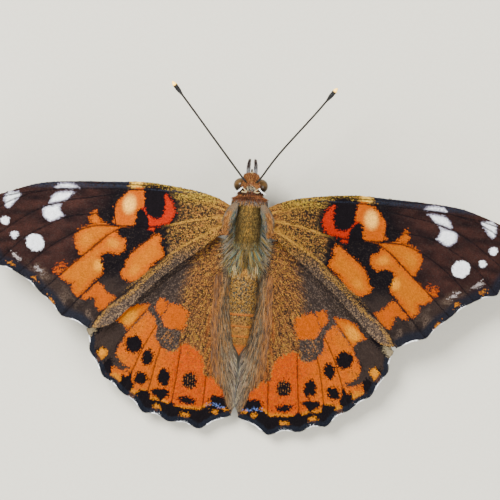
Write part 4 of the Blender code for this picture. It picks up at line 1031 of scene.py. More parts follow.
def blades(roots, lie, normal, long, wide, lift, curl, rings=3, fall=0.6):
    """Closed tapered blades, one at each root.

    The middle line is root + lie * t + normal * lift * (t - fall * t squared) + a sideways
    curl * t squared, and the width shrinks as the square root of what is left. Each ring is
    a low triangle: two edges and a crest.
    """
    count = len(roots)
    lie, normal = unit(lie), unit(np.broadcast_to(normal, roots.shape))
    across = unit(np.cross(normal, lie))
    t = np.concatenate([np.linspace(0.0, 0.8, rings), [1.0]])
    middle = (roots[:, None] + lie[:, None] * (long[:, None] * t)[..., None]
              + normal[:, None] * (long[:, None] * lift[:, None] * (t - fall * t ** 2))[..., None]
              + across[:, None] * (long[:, None] * curl[:, None] * t ** 2)[..., None])
    half = 0.5 * wide[:, None] * np.sqrt(1.0 - t[:-1]) * (0.75 + 0.5 * np.minimum(t[:-1] * 3, 1))
    left = middle[:, :-1] - across[:, None] * half[..., None]
    right = middle[:, :-1] + across[:, None] * half[..., None]
    crest = middle[:, :-1] + normal[:, None] * (0.55 * half)[..., None]
    ring = np.stack([left, crest, right], 2).reshape(count, rings * 3, 3)
    points = np.concatenate([ring, middle[:, -1:]], 1)
    each = rings * 3 + 1
    k = np.arange(rings - 1)[:, None] * 3
    pairs = ((0, 1), (1, 2), (2, 0))
    quads = np.concatenate([np.stack([k + a, k + b, k + b + 3, k + a + 3], -1).reshape(-1, 4)
                            for a, b in pairs])
    last = rings * 3 - 3
    triangles = np.array([[2, 1, 0]] + [[last + a, last + b, last + 3] for a, b in pairs])
    base = (np.arange(count) * each)[:, None, None]
    share = np.concatenate([np.repeat(t[:-1], 3), [1.0]])
    return (points.reshape(-1, 3), [(quads + base).reshape(-1, 4),
                                    (triangles + base).reshape(-1, 3)], share)


def patches(roots, each):
    """The OFBake map: each tuft is a patch 0.003 across at its root's place on the unwrap."""
    turn = np.arange(each) * 2.4
    reach = 0.0015 * np.sqrt((np.arange(each) + 0.5) / each)
    shape = np.stack([np.cos(turn) * reach, np.sin(turn) * reach], -1)
    return (roots[:, None] + shape[None]).reshape(-1, 2)


def shade_along(paint, share, root, tip):
    """Each tuft's colour, with painted shade toward the root and painted light toward the tip."""
    gain = root + (tip - root) * share
    return (paint[:, None] * gain[None, :, None]).reshape(-1, 3)


def coat_piece(name, side, roots, lie, normal, long, wide, lift, curl, paint, unwrap, slot,
               place=spot, rings=3, fall=0.6, shades=(0.55, 1.1)):
    """A joined mesh of hair or scales, from animal millimetres to the model, with painted shade at the
    roots and painted light at the tips.
    """
    points, faces, share = blades(roots, lie, normal, long, wide, lift, curl, rings, fall)
    return add_piece(name, place(side, points), faces, shade_along(paint, share, *shades),
                     coat_material("Body hair", grains=40000.0, rough=(0.6, 0.85), bump=0.2),
                     bake=patches(unwrap, len(share)))


def draws(side, seed):
    """One side's own random numbers."""
    return np.random.default_rng(seed + (side == "r"))


def tuft_sizes(rng, count, long, wide, lift, curl):
    """Random sizes: length, width and lift each evenly between two bounds, and curl about 0."""
    spans = [rng.uniform(*span, count) for span in (long, wide, lift)]
    return *spans, rng.normal(0, curl, count)


def varied(paint, rng, low=0.8, high=1.2):
    """Each tuft's colour made a little lighter or darker at random."""
    return paint * rng.uniform(low, high, len(paint))[:, None]


def feed(tree, socket, value):
    """Link another node's socket to this one, or set its value."""
    if isinstance(value, bpy.types.NodeSocket):
        tree.links.new(value, socket)
    else:
        socket.default_value = value


def add_node(tree, kind, settings=None, **inputs):
    """A shader node with its settings, and with its inputs fed by name or, as input_2, by
    number. It returns the node's outputs."""
    made = tree.nodes.new(f"ShaderNode{kind}")
    for label, value in (settings or {}).items():
        setattr(made, label, value)
    for label, value in inputs.items():
        number = label.removeprefix("input_")
        feed(tree, made.inputs[int(number) if number.isdigit() else label.replace("_", " ")], value)
    return made.outputs


def shared_group(name, outputs, inputs, fill):
    """A node group, made and filled the first time that it is asked for."""
    if name in bpy.data.node_groups:
        return bpy.data.node_groups[name]
    group = bpy.data.node_groups.new(name, "ShaderNodeTree")
    for way, labels in (("INPUT", inputs), ("OUTPUT", outputs)):
        for label in labels:
            kind = "NodeSocketColor" if label == "Color" else "NodeSocketFloat"
            group.interface.new_socket(label, in_out=way, socket_type=kind)
    take, give = group.nodes.new("NodeGroupInput"), group.nodes.new("NodeGroupOutput")
    for label, socket in fill(group, take.outputs).items():
        group.links.new(socket, give.inputs[label])
    return group


def fill_grain(group, take):
    """The colour mottled by fine and coarse noise, a roughness that follows the fine noise,
    and its height."""
    place = add_node(group, "TexCoord")["Object"]
    fine = add_node(group, "TexNoise", Vector=place, Scale=take["Grains"], Detail=3.0,
                    Roughness=0.6)["Fac"]
    coarse = add_node(group, "TexNoise", Vector=place, Scale=2600.0, Detail=2.0)["Fac"]
    both = add_node(group, "Math", {"operation": "MULTIPLY_ADD"}, input_0=fine, input_1=0.5,
                    input_2=coarse)
    level = add_node(group, "Math", {"operation": "SUBTRACT"}, input_0=both[0], input_1=0.25)
    gain = add_node(group, "MapRange", Value=level[0], From_Min=0.25, From_Max=0.75, To_Min=0.8,
                    To_Max=1.2)
    scaled = add_node(group, "VectorMath", {"operation": "SCALE"}, input_0=take["Color"],
                      Scale=gain["Result"])
    blend = add_node(group, "Mix", {"data_type": "RGBA"}, input_0=take["Mottle"],
                     input_6=take["Color"], input_7=scaled[0])
    rough = add_node(group, "MapRange", Value=fine, From_Min=0.3, From_Max=0.7,
                     To_Min=take["Rough low"], To_Max=take["Rough high"])
    return {"Color": blend[2], "Roughness": rough["Result"], "Height": fine}


def fill_cells(group, take):
    """A height domed in each cell and a mask that is dark between them."""
    reach = add_node(group, "TexVoronoi", Vector=add_node(group, "TexCoord")["Object"],
                     Scale=take["Cells"], Randomness=0.35)["Distance"]
    dome = add_node(group, "MapRange", Value=reach, From_Min=0.0, From_Max=0.7, To_Min=1.0, To_Max=0.0)
    mask = add_node(group, "MapRange", Value=reach, From_Min=0.4, From_Max=0.75, To_Min=1.0,
                    To_Max=0.55)
    return {"Height": dome["Result"], "Mask": mask["Result"]}


def place_grain(tree, colour, grains, mottle, rough):
    """The shared fine grain, placed in a material. Its sizes are in grains a metre."""
    group = shared_group("Fine grain", ("Color", "Roughness", "Height"),
                         ("Color", "Grains", "Mottle", "Rough low", "Rough high"), fill_grain)
    return add_node(tree, "Group", {"node_tree": group}, Color=colour, Grains=grains,
                    Mottle=mottle, Rough_low=rough[0], Rough_high=rough[1])


def new_material(name):
    """An empty material, its node tree and the inputs of its shader."""
    material = bpy.data.materials.new(name)
    material.use_nodes = True
    return material, material.node_tree, material.node_tree.nodes["Principled BSDF"].inputs


def coat_material(name, grains=30000.0, mottle=0.5, rough=(0.6, 0.8), cells=0.0, bump=0.3,
                  depth=0.00001, specular=0.04, coat=0.0):
    """A material whose colour is the markings painted on the mesh, with grain over it and,
    where `cells` is set, a relief of small cells."""
    if name in bpy.data.materials:
        return bpy.data.materials[name]
    material, tree, shader = new_material(name)
    shader["Specular IOR Level"].default_value = specular
    shader["Coat Weight"].default_value = coat
    shader["Coat Roughness"].default_value = 0.08
    paint = add_node(tree, "Attribute", {"attribute_name": "markings"})
    grain = place_grain(tree, paint["Color"], grains, mottle, rough)
    colour, height = grain["Color"], grain["Height"]
    if cells:
        group = shared_group("Small cells", ("Height", "Mask"), ("Cells",), fill_cells)
        comb = add_node(tree, "Group", {"node_tree": group}, Cells=cells)
        colour = add_node(tree, "VectorMath", {"operation": "SCALE"}, input_0=colour,
                          Scale=comb["Mask"])[0]
        height = comb["Height"]
    relief = add_node(tree, "Bump", Strength=bump, Distance=depth, Height=height)
    tree.links.new(colour, shader["Base Color"])
    tree.links.new(grain["Roughness"], shader["Roughness"])
    tree.links.new(relief["Normal"], shader["Normal"])
    return material


def floor_material(colour):
    """Matt pale floor with a very faint mottle."""
    material, tree, shader = new_material("Pale floor")
    grain = place_grain(tree, (*colour, 1.0), 900.0, 0.12, (0.75, 0.9))
    tree.links.new(grain["Color"], shader["Base Color"])
    tree.links.new(grain["Roughness"], shader["Roughness"])
    return material


def skin_material():
    """Skin under the hair, with small overlapping cells."""
    return coat_material("Scaled skin", grains=25000.0, mottle=0.8, rough=(0.6, 0.85),
                         cells=11000.0, bump=0.6, depth=0.00003)


def make_wings():
    """The forewing and the hindwing, the same for both sides."""
    return (Wing("fore", FOREWING_EDGES, FOREWING_VEINS), Wing("hind", HINDWING_EDGES, HINDWING_VEINS))


def raised(points, height):
    """Points of the plan with their heights."""
    return np.concatenate([points, height[..., None]], -1)


def build_membrane(wing, side, tints):
    """The wing's thin closed sheet: an upper and a lower grid of its patch, joined all round
    the rim, with the veins raised on both faces."""
    rows, columns = 160, 96
    u, v = np.meshgrid(np.linspace(0, 1, rows), np.linspace(0, 1, columns), indexing="ij")
    points = wing.at(u, v)
    rise, near = wing.relief(points)
    middle = wing.sheet(points)
    rim = np.minimum(np.minimum(u, 1 - u), np.minimum(v, 1 - v))
    thin = 0.35 + 0.65 * ease(rim, 0.0, 0.02)
    upper = wing.place(side, raised(points, middle + rise * thin))
    lower = wing.place(side, raised(points, middle - (0.03 + 0.6 * rise) * thin))
    flat = points.reshape(-1, 2)
    rng = np.random.default_rng(7)
    top = wing.upper(flat, near.ravel(), tints, rng, 0.3)
    bottom = UNDER[wing.kind](wing, flat, near.ravel(), tints, rng)
    count = rows * columns
    index = np.arange(count).reshape(rows, columns)
    edge = np.concatenate([index[0, :-1], index[:-1, -1], index[-1, :0:-1], index[:0:-1, 0]])
    after = np.roll(edge, -1)
    wall = np.stack([edge, after, after + count, edge + count], 1)
    faces = [grid_faces(rows, columns)[:, ::-1], grid_faces(rows, columns, count), wall[:, ::-1]]
    material = coat_material("Wing membrane", grains=20000.0, mottle=0.9, rough=(0.6, 0.85),
                             cells=9000.0, bump=0.5, depth=0.00002)
    # The upper face takes the scales' colours at 0.8: painted shade under the scales
    add_piece(f"{wing.name}_membrane_{side}",
              np.vstack([upper.reshape(-1, 3), lower.reshape(-1, 3)]), faces,
              np.vstack([top * 0.8, bottom]), material,
              replaces=[f"{wing.name}_{side}"])


def scale_roots(wing, rng):
    """Places of the scales as u and v: rows across the patch, each with as many as its length
    holds, all shifted a little at random."""
    sizes = bpy.context.scene.butterfly_wings
    span = np.linalg.norm(np.diff(wing.costa, axis=0), axis=1).sum() * 0.93
    rows = int(span / sizes.row_step)
    u = (np.arange(rows) + 0.5) / rows
    grid = wing.at(*np.meshgrid(u, np.linspace(0.0, 1.0, 40), indexing="ij"))
    widths = np.linalg.norm(np.diff(grid, axis=1), axis=2).sum(1)
    counts = np.maximum(3, (widths / sizes.scale_step).astype(int))
    row = np.repeat(np.arange(rows), counts)
    first = np.repeat(np.cumsum(counts) - counts, counts)
    place = (np.arange(len(row)) - first + 0.5 + (row % 2) * 0.5 - 0.25) / counts[row]
    v = place + rng.normal(0, 0.18, len(row)) / counts[row]
    u = u[row] + rng.normal(0, 0.12, len(row)) / rows
    return np.clip(u, 0.0, 1.0), np.clip(v, 0.0, 1.0)


def build_scales(wing, side, tints):
    """The upper side's scales: each a thin closed wedge, a point at its root and wide at its
    tip, that rises a little toward the margin, in the colour of where its tip shows."""
    sizes = bpy.context.scene.butterfly_wings
    rng = draws(side, 101)
    u, v = scale_roots(wing, rng)
    points = wing.at(u, v)
    count = len(points)
    step = 0.03
    right, ahead = wing.top(points + [step, 0.0]), wing.top(points + [0.0, step])
    height = wing.top(points)
    normal = unit(np.stack([(height - right) / step, (height - ahead) / step, np.ones(count)], -1))
    lie = wing.outward(u, v)
    turn = rng.normal(0, 0.13, count)
    lie = np.stack([lie[:, 0] * np.cos(turn) - lie[:, 1] * np.sin(turn),
                    lie[:, 0] * np.sin(turn) + lie[:, 1] * np.cos(turn)], -1)
    seen = points + lie * sizes.scale_length * 0.75
    across = unit(np.cross(normal, raised(lie, np.zeros(count))))
    lie = np.cross(across, normal)
    across = unit(across + normal * rng.normal(0, 0.10, count)[:, None])
    long = sizes.scale_length * rng.uniform(0.85, 1.15, count)[:, None]
    wide = sizes.scale_width * rng.uniform(0.85, 1.2, count)[:, None]
    lift = long * rng.uniform(0.10, 0.20, count)[:, None]
    root = raised(points, height) - normal * 0.004
    tip = root + lie * long + normal * lift
    stack = np.stack([root, tip + across * wide * 0.5, tip - across * wide * 0.5,
                      root + lie * long * 0.5 + normal * (lift * 0.3 - 0.014)], 1)
    faces = (np.array([[0, 2, 1], [0, 1, 3], [1, 2, 3], [2, 0, 3]])
             + (np.arange(count) * 4)[:, None, None]).reshape(-1, 3)
    paint = wing.upper(seen, wing.relief(seen)[1], tints, rng)
    # Painted shade at each scale's root, under the scale before it, and painted light at its tip
    paint = shade_along(varied(paint, rng, 0.78, 1.22), np.array([0.0, 1.0, 1.0, 0.5]), 0.8, 1.05)
    material = coat_material("Wing scales", grains=60000.0, rough=(0.55, 0.75), bump=0.25)
    add_piece(f"{wing.name}_scales_{side}", wing.place(side, stack.reshape(-1, 3)), [faces],
              paint, material, bake=patches(wing.unwrap(points), 4))


def build_fringe(wing, side, tints):
    """The fringe: an outer row of blades, white in the bays and dark at the vein ends, and
    dark blades over their roots."""
    sizes = bpy.context.scene.butterfly_wings
    rng = draws(side, 201)
    long_way = np.linalg.norm(np.diff(wing.margin, axis=0), axis=1).sum()
    row = int(long_way / 0.05)
    count = row * 4
    share = np.clip(np.tile((np.arange(row) + 0.5) / row, 4) + rng.normal(0, 0.0008, count),
                    0.002, 0.998)
    edge = along_line(wing.margin, share)
    along = unit(along_line(wing.margin, share + 0.006) - along_line(wing.margin, share - 0.006))
    outward = np.stack([along[:, 1], -along[:, 0]], -1)
    outer = np.repeat(np.arange(4), row) < 2
    root = edge - outward * np.where(outer, 0.16, 0.34)[:, None]
    bay = np.linalg.norm(edge[:, None] - wing.ends[None], axis=2).min(1)
    white = ease(bay + rng.normal(0, 0.10, count), 0.78, 0.98)
    if wing.kind == "fore":
        white = white * ease(field(edge[:, 0] * 1.1, edge[:, 1] * 1.1, 71), 0.15, 0.45)
    paint = mix(tints.dark, tints.white, white * 0.9 * outer)
    lie = outward + along * rng.normal(0, 0.10, count)[:, None]
    long = np.where(outer, 0.16 + sizes.fringe * (0.8 + 0.2 * white), 0.20)
    coat_piece(f"{wing.name}_fringe_{side}", side,
               raised(root, wing.sheet(root) + np.where(outer, 0.01, 0.05)),
               raised(lie, np.full(count, -0.06)), UP,
               *tuft_sizes(rng, count, (0.85 * long, 1.1 * long), (0.07, 0.11), (0.0, 0.12), 0.06),
               paint, wing.unwrap(root), wing.slot, place=wing.place, rings=2,
               shades=(0.9, 1.05))


def build_wing_hair(wing, side, tints):
    """Hair over the wing's root, blades that fan out and take the wing's own colours."""
    rng = draws(side, 301)
    count = 2600
    u = rng.random(count) ** 1.6 * (0.26 if wing.kind == "fore" else 0.45)
    v = rng.random(count)
    points = wing.at(u, v)
    rise, near = wing.relief(points)
    lie = wing.outward(u, v)
    paint = wing.upper(points, near, tints, rng)
    coat_piece(f"{wing.name}_hair_{side}", side, raised(points, wing.sheet(points) + rise),
               raised(lie, 0.14 * lie[:, 1]), UP,
               *tuft_sizes(rng, count, (0.5, 1.1), (0.025, 0.045), (0.03, 0.12), 0.05), paint,
               wing.unwrap(points), wing.slot, place=wing.place, rings=2, shades=(0.75, 1.15))


def build_margin_hair(wing, side, tints):
    """Long fine hair in a band down the hindwing's inner margin, lying back and in toward
    the midline, so that the two bands meet in a V behind the tail."""
    rng = draws(side, 311)
    count = 9000
    forward = -2.6 - 16.6 * rng.random(count)
    edge = np.interp(-forward, -wing.inner[:, 1], wing.inner[:, 0]) + 0.03
    limit = np.interp(forward, *np.transpose(MARGIN_HAIR_LIMIT))
    inside = rng.random(count) ** 0.8
    out = edge + inside * (limit + 0.9 * ease(forward, -15.5, -13.5) - edge)
    points = np.stack([out, forward], -1)
    keep = (within(points, HINDWING_FIELD) < 0.1) & (out > edge - 0.01)
    points, limit = points[keep], limit[keep]
    out, forward = points.T
    count = len(points)
    long = rng.uniform(0.9, 2.0, count)
    long = np.minimum(long, np.maximum((forward + 19.2) * 0.7, 0.25))
    near_middle = ease(out, limit, 0.2)
    inward = 0.08 + 0.22 * near_middle + 0.45 * near_middle * ease(
        np.abs(forward + 12.2), 4.6, 1.6) + rng.normal(0, 0.045, count)
    gap = 0.02 + 0.25 * ease(forward, -17.0, -18.6)
    inward = np.minimum(inward, (out - gap) / np.maximum(long * 0.95, 0.1))
    lie = np.stack([-inward, -np.ones(count), -0.135 * np.ones(count)], -1)
    dice = rng.random(count)
    paint = lay(
        pick(tints, "tan hair_light hair hair_dark", (0.20, 0.14, 0.40, 0.26), dice),
        (pick(tints, "grey belly hair hair_dark", (0.44, 0.10, 0.14, 0.32), dice),
         near_middle * ease(forward, -9.5, -12.5)),
        (pick(tints, "rust_light rust taupe rust_dark", (0.26, 0.34, 0.2, 0.2), dice),
         ease(out - limit + rng.normal(0, 0.15, count), -0.15, 0.25)))
    paint = varied(paint, rng)
    coat_piece(f"hindwing_margin_hair_{side}", side, raised(points, wing.top(points)), lie, UP,
               long, rng.uniform(0.030, 0.050, count), rng.uniform(0.03, 0.16, count),
               rng.normal(0, 0.03, count), paint, wing.unwrap(points), wing.slot,
               place=wing.place, rings=2, shades=(0.7, 1.1))


def build_skin(tints):
    """One skin for head, collar, thorax and abdomen: rings of an ellipse along the body."""
    forward = SKIN_FRONT - (SKIN_FRONT - SKIN_BACK) * np.linspace(0.0, 1.0, 210)
    forward, angle = np.meshgrid(forward, circle(100), indexing="ij")
    points, _ = skin_point(forward, angle)
    paint = body_colour(forward, angle, tints, np.random.default_rng(11))
    # The skin takes the body's colours at 0.7: painted shade under the hair
    ring_piece("body_skin", "l", points, paint * 0.7, skin_material(),
               ["head", "collar", "thorax", "abdomen"])


def body_coat(name, front, back, count, long, wide, lift, tints, seed, slot, lie_out=0.15,
              rings=3, fall=0.6, keep=None, shades=(0.6, 1.15), back_lie=1.0, hug=1.0,
              kinds=None):
    """Hair or scales between two places along the body.

    The roots are random, and each blade points to the tail, turned outwards by its place
    round the body. `hug` is how far it is laid down on the skin, and `kinds` are the names
    and shares of colours that take the place of the body's own.
    """
    rng = np.random.default_rng(seed)
    forward = rng.uniform(back, front, count)
    angle = rng.uniform(0.0, 2 * math.pi, count)
    if keep is not None:
        kept = keep(forward, angle, rng)
        forward, angle = forward[kept], angle[kept]
    roots, normal = skin_point(forward, angle)
    count = len(forward)
    lie = np.stack([lie_out * np.cos(angle), np.full(count, -back_lie), np.full(count, -0.05)], -1)
    lie = lie - normal * (lie * normal).sum(1, keepdims=True) * hug
    paint = body_colour(forward, angle, tints, rng)
    if kinds:
        paint = pick(tints, *kinds, rng.random(count))
    paint = varied(paint, rng)
    sizes = tuft_sizes(rng, count, (0.7 * long, 1.25 * long), (0.8 * wide, 1.2 * wide),
                  (0.6 * lift, 1.5 * lift), 0.10)
    unwrap = 0.04 + 0.92 * np.stack([angle / (2 * math.pi), (forward + 13.0) / 22.0], -1)
    coat_piece(name, "l", roots - normal * 0.03, lie, normal, *sizes, paint, unwrap, slot,
               rings=rings, fall=fall, shades=shades)


def mostly_above(forward, angle, rng):
    """Keeps nearly half of the roots on the underside and all of them on the back."""
    return rng.random(len(angle)) < 0.45 + 0.55 * ease(np.sin(angle), -0.4, 0.3)


def clear_of_eyes(forward, angle, rng):
    """Keeps the roots that don't lie inside an eye."""
    point, _ = skin_point(forward, angle)
    point[:, 0] = np.abs(point[:, 0])
    reach = (point - np.array(EYE_CENTRE)) / (np.array(EYE_RADII) + 0.02)
    return (reach ** 2).sum(1) > 1.0


def above_between(low, high):
    """Keeps roots at angles from `low` to `high` degrees above the horizontal, on both sides."""
    def keep(forward, angle, rng):
        up = np.degrees(np.arcsin(np.sin(angle)))
        return (up > low) & (up < high)
    return keep


def build_body_coat(tints):
    """The hair of head, collar and thorax and the scales of the abdomen, coat by coat."""
    coat = bpy.context.scene.butterfly_coat
    body_coat("head_coat", 8.35, 6.75, 8200, coat.head_hair * 0.8, 0.05, 0.45, tints, 21,
              "head_fur", lie_out=1.1, keep=clear_of_eyes, rings=2, fall=0.5, hug=0.7)
    body_coat("face_coat", 8.78, 7.9, 3600, coat.head_hair, 0.05, 0.35, tints, 29,
              "head_fur", lie_out=0.4, keep=clear_of_eyes, rings=2, back_lie=-1.0, hug=0.6)
    body_coat("collar_coat", 6.7, 5.5, 5600, 0.55, 0.055, 0.42, tints, 22, "collar_fur",
              lie_out=0.3, rings=2)
    body_coat("collar_front_coat", 6.85, 6.3, 1900, 0.34, 0.055, 0.5, tints, 26,
              "collar_fur", lie_out=0.6, rings=2, back_lie=-0.8)
    body_coat("thorax_coat", 5.6, -1.9, 26000, coat.thorax_hair, 0.065, 0.34, tints, 23,
              "thorax_fur", lie_out=0.3, keep=mostly_above, rings=1, shades=(0.42, 0.88))
    body_coat("thorax_long_coat", 0.2, -2.0, 3000, 1.5, 0.045, 0.28, tints, 24,
              "thorax_fur", lie_out=1.1, keep=above_between(5.0, 82.0), hug=0.8)
    body_coat("shoulder_coat", 4.9, -1.6, 3600, 1.35, 0.05, 0.34, tints, 27,
              "thorax_fur", lie_out=1.3, keep=above_between(20.0, 46.0), hug=0.42,
              kinds=("grey hair_light teal olive_light hair_dark",
                     (0.22, 0.22, 0.12, 0.16, 0.28)))
    body_coat("side_lock_coat", -0.3, -2.0, 520, 2.6, 0.06, 0.16, tints, 28,
              "thorax_fur", lie_out=0.12, keep=above_between(30.0, 55.0), hug=0.8,
              kinds=("belly tan olive_light hair_dark", (0.3, 0.3, 0.25, 0.15)))
    body_coat("abdomen_coat", -1.9, -12.4, 36000, coat.abdomen_hair * 0.8, 0.105, 0.20, tints,
              25, "abdomen_scales", lie_out=0.05, rings=1, keep=mostly_above,
              shades=(0.65, 0.95))


def build_eye_rim(side, tints):
    """The bright line behind the eye: short white blades from the cheek to the crown, and
    cream ones along the loop that it ends in."""
    rng = draws(side, 31)
    steps = 80
    for name, route, count, tone, loose, wide in (
            ("eye_rim", EYE_RIM, 260, tints.white, 0.02, 0.045),
            ("crown_line", CROWN_LOOP, 90, tints.belly, 0.012, 0.035)):
        line = even_line(smooth_line(route, 12), steps)
        row = rng.integers(0, 72, count)
        roots = line[row] + rng.normal(0, loose, (count, 3))
        lie = unit(np.gradient(line, axis=0))[row] + rng.normal(0, 0.14, (count, 3))
        paint = mix(tone, tints.belly, rng.random(count) * 0.5)
        unwrap = np.stack([0.1 + 0.8 * row / steps, 0.1 + 0.8 * rng.random(count)], -1)
        coat_piece(f"{name}_{side}", side, roots, lie, (0.25, -0.4, 0.9),
                   *tuft_sizes(rng, count, (0.16, 0.28), (0.8 * wide, 1.2 * wide), (0.1, 0.3), 0.1),
                   paint, unwrap, "head_fur", rings=2, shades=(0.9, 1.05))


def build_eye(side, tints):
    """The eye's dome: a ball of the eye's three radii, painted with soft dark flecks."""
    lat, turn = np.meshgrid(np.linspace(0.02, math.pi - 0.02, 72), circle(96), indexing="ij")
    ball = np.stack([np.cos(lat), np.sin(lat) * np.cos(turn), np.sin(lat) * np.sin(turn)], -1)
    points = np.array(EYE_CENTRE) + ball * np.array(EYE_RADII)
    flecks = field(points[..., 1] * 3.2, points[..., 2] * 3.2, 51)
    rim = ease(ball[..., 0], 0.45, 0.15) * 0.4 * (ball[..., 2] < 0)
    paint = lay(
        tints.eye * 0.10,
        (tints.eye, ease(ball[..., 0] * 0.8 + ball[..., 1], -0.15, 0.65)),
        (tints.eye * 0.25, ease(flecks, 0.52, 0.72) * 0.6),
        (tints.belly, rim))
    material = coat_material("Eye", grains=20000.0, mottle=0.3, rough=(0.2, 0.35),
                             cells=26000.0, bump=0.25, specular=0.1, coat=0.06)
    ring_piece(f"eye_dome_{side}", side, points, paint, material, [f"eye_{side}"])


def head_root(out, forward=None, up=None):
    """Point of the solid head's ball with one coordinate solved from the other two."""
    centre, radii = np.array(HEAD_CENTRE), np.array(HEAD_RADII)
    point = np.array([out, forward, up], float)
    free = int(np.isnan(point).argmax())
    rest = np.nansum(((point - centre) / radii) ** 2)
    point[free] = centre[free] + radii[free] * math.sqrt(1.0 - rest)
    return point


def build_antenna(side, tints):
    """A feeler: rings along its curve whose radius swells in each joint and at the club, with
    a pale ring at each joint and a cream tip."""
    root = head_root(*ANTENNA_ROOT)
    normal = unit((root - np.array(HEAD_CENTRE)) / np.array(HEAD_RADII) ** 2)
    base = root + normal * 0.9
    tip = np.array(ANTENNA_TIP[side])
    bends = [(ANTENNA_ROOT[0] + out, ANTENNA_ROOT[1] + forward, base[2] + share * (tip[2] - base[2]))
             for out, forward, share in ANTENNA_BENDS[side]]
    path = even_line(smooth_line((root - normal * 0.35, base, *bends, tip), 24), 520)
    t = np.linspace(0.0, 1.0, len(path))
    wave = 0.5 + 0.5 * np.cos(2 * math.pi * t * 44)
    radius = SHAFT_RADIUS * (1.0 + 0.14 * wave)
    radius = radius + (CLUB_RADIUS - SHAFT_RADIUS) * ease(t, 0.86, 0.93)
    radius = radius * np.sqrt(np.clip((1.0 - t) / 0.03, 0.02, 1.0))
    radius = np.maximum(radius, 0.13 * ease(t, 0.03, 0.0))
    sides = 20
    pale = ease(wave, 0.86, 0.98) * ease(t, 0.93, 0.86)
    under = 0.06 + 0.75 * (np.sin(circle(sides)) < 0.2)
    paint = lay(
        tints.feeler,
        (tints.belly, pale[:, None] * under * 0.85),
        (tints.cream, ease(t, 0.962, 0.975)[:, None]))
    material = coat_material("Feeler", grains=50000.0, mottle=0.6, rough=(0.35, 0.55), specular=0.15)
    ring_piece(f"antenna_shaft_{side}", side, rings_along(path, radius, sides), paint, material,
               [f"antenna_{side}"])


def build_palp(side, tints):
    """A palp: a tapering limb that bends up, and the bristly hair that hides it."""
    steps, sides = 60, 18
    root = head_root(0.44, up=5.50)
    route = (root - [0, 0.3, 0], (0.42, 9.80, 5.72), (0.34, 10.62, 6.17))
    path = even_line(smooth_line(route, 20), steps)
    radius = 0.18 * (1.0 - 0.75 * np.linspace(0, 1, steps) ** 2.5)
    rings = rings_along(path, radius, sides)
    ring_piece(f"palp_skin_{side}", side, rings, tints.hair_dark, skin_material(),
               [f"palp_{side}"])
    rng = draws(side, 61)
    count = 1300
    row = (rng.random(count) ** 0.8 * 54).astype(int)
    column = rng.integers(0, sides, count)
    roots = rings[row, column]
    normal = unit(roots - path[row])
    along = unit(np.gradient(path, axis=0))[row]
    # Paler hair on the upper side of the palp's root half: a painted highlight
    pale = ease(row + rng.normal(0, 8.0, count), 30.0, 14.0) * (normal[:, 2] > 0.1)
    paint = mix(pick(tints, "grey dark collar_dark", (0.22, 0.58, 0.20), rng.random(count)),
                mix(tints.grey, tints.white, 0.16), pale * 0.8)
    unwrap = np.stack([0.05 + 0.9 * column / sides, 0.05 + 0.9 * row / steps], -1)
    coat_piece(f"palp_coat_{side}", side, roots, along + normal * 0.10, normal,
               *tuft_sizes(rng, count, (0.28, 0.46), (0.04, 0.06), (0.0, 0.25), 0.08), paint,
               unwrap, "palp_fur", rings=2)


def build_tongue(tints):
    """The rolled tongue: a tube along a spiral whose reach shrinks evenly with the angle."""
    t = np.linspace(0, 1, 420)
    angle = math.radians(TONGUE["start"]) - 2 * math.pi * TONGUE["turns"] * t
    reach = TONGUE["reach"] * (1.0 - 0.80 * t)
    ahead, up = TONGUE["centre"]
    coil = np.stack([0 * t, ahead + reach * np.cos(angle), up + reach * np.sin(angle)], -1)
    lead = np.linspace(head_root(0.0, up=4.85) - [0, 0.25, 0], coil[0], 16)[:-1]
    path = np.vstack([lead, coil])
    share = np.linspace(0, 1, len(path))
    radius = (0.115 - 0.05 * share) * (1.0 + 0.05 * np.cos(share * 500))
    rings = rings_along(path, radius, 16, np.tile([1.15, 0.0, 0.0], (len(path), 1)))
    paint = mix(tints.eye * 0.8, tints.dark, 0.5 + 0.5 * np.cos(share * 500))
    material = coat_material("Tongue", rough=(0.3, 0.5), specular=0.2)
    ring_piece("rolled_tongue", "l", rings, paint[:, None], material, ["proboscis"])


def underside(out, forward):
    """Point of the solid body's underside at a distance from the midline."""
    wide, high, centre = body_section(np.array([forward]))[0]
    return np.array([out, forward, centre - high * math.sqrt(1.0 - (out / wide) ** 2)])


def leg_material():
    """Pale brown leg, with small overlapping cells."""
    return coat_material("Leg", mottle=0.8, rough=(0.45, 0.7), cells=12000.0, bump=0.5, depth=0.00002)


def leg_coat(name, side, path, rings, tints, seed, count, long, bristle=0.25):
    """Scales and bristles along a leg that lie toward the foot."""
    rng = np.random.default_rng(seed)
    sides = rings.shape[1]
    row = rng.integers(2, len(path) - 6, count)
    column = rng.integers(0, sides, count)
    roots = rings[row, column]
    normal = unit(roots - path[row])
    along = unit(np.gradient(path, axis=0))[row]
    stiff = rng.random(count) < bristle
    dark = (rng.random(count) < 0.35) | stiff
    low = roots[:, 2] < 0.35
    coat_piece(name, side, roots, along, normal,
               paint=varied(mix(tints.leg, tints.hair_dark, dark * 0.8), rng),
               long=np.where(low, 0.5, 1.0) * np.where(stiff, long * 1.4, long)
               * rng.uniform(0.8, 1.2, count),
               wide=np.where(stiff, 0.04, 0.08),
               lift=np.where(low, 0.05, np.where(stiff, 0.55, 0.15)),
               curl=rng.normal(0, 0.08, count),
               unwrap=np.stack([0.05 + 0.9 * column / sides, 0.05 + 0.9 * row / len(path)], -1),
               slot="leg", rings=1)


def softened(values, width):
    """Values averaged over `width` neighbours, with the ends repeated beyond them."""
    padded = np.pad(values, width // 2, mode="edge")
    return np.convolve(padded, np.ones(width) / width, mode="valid")


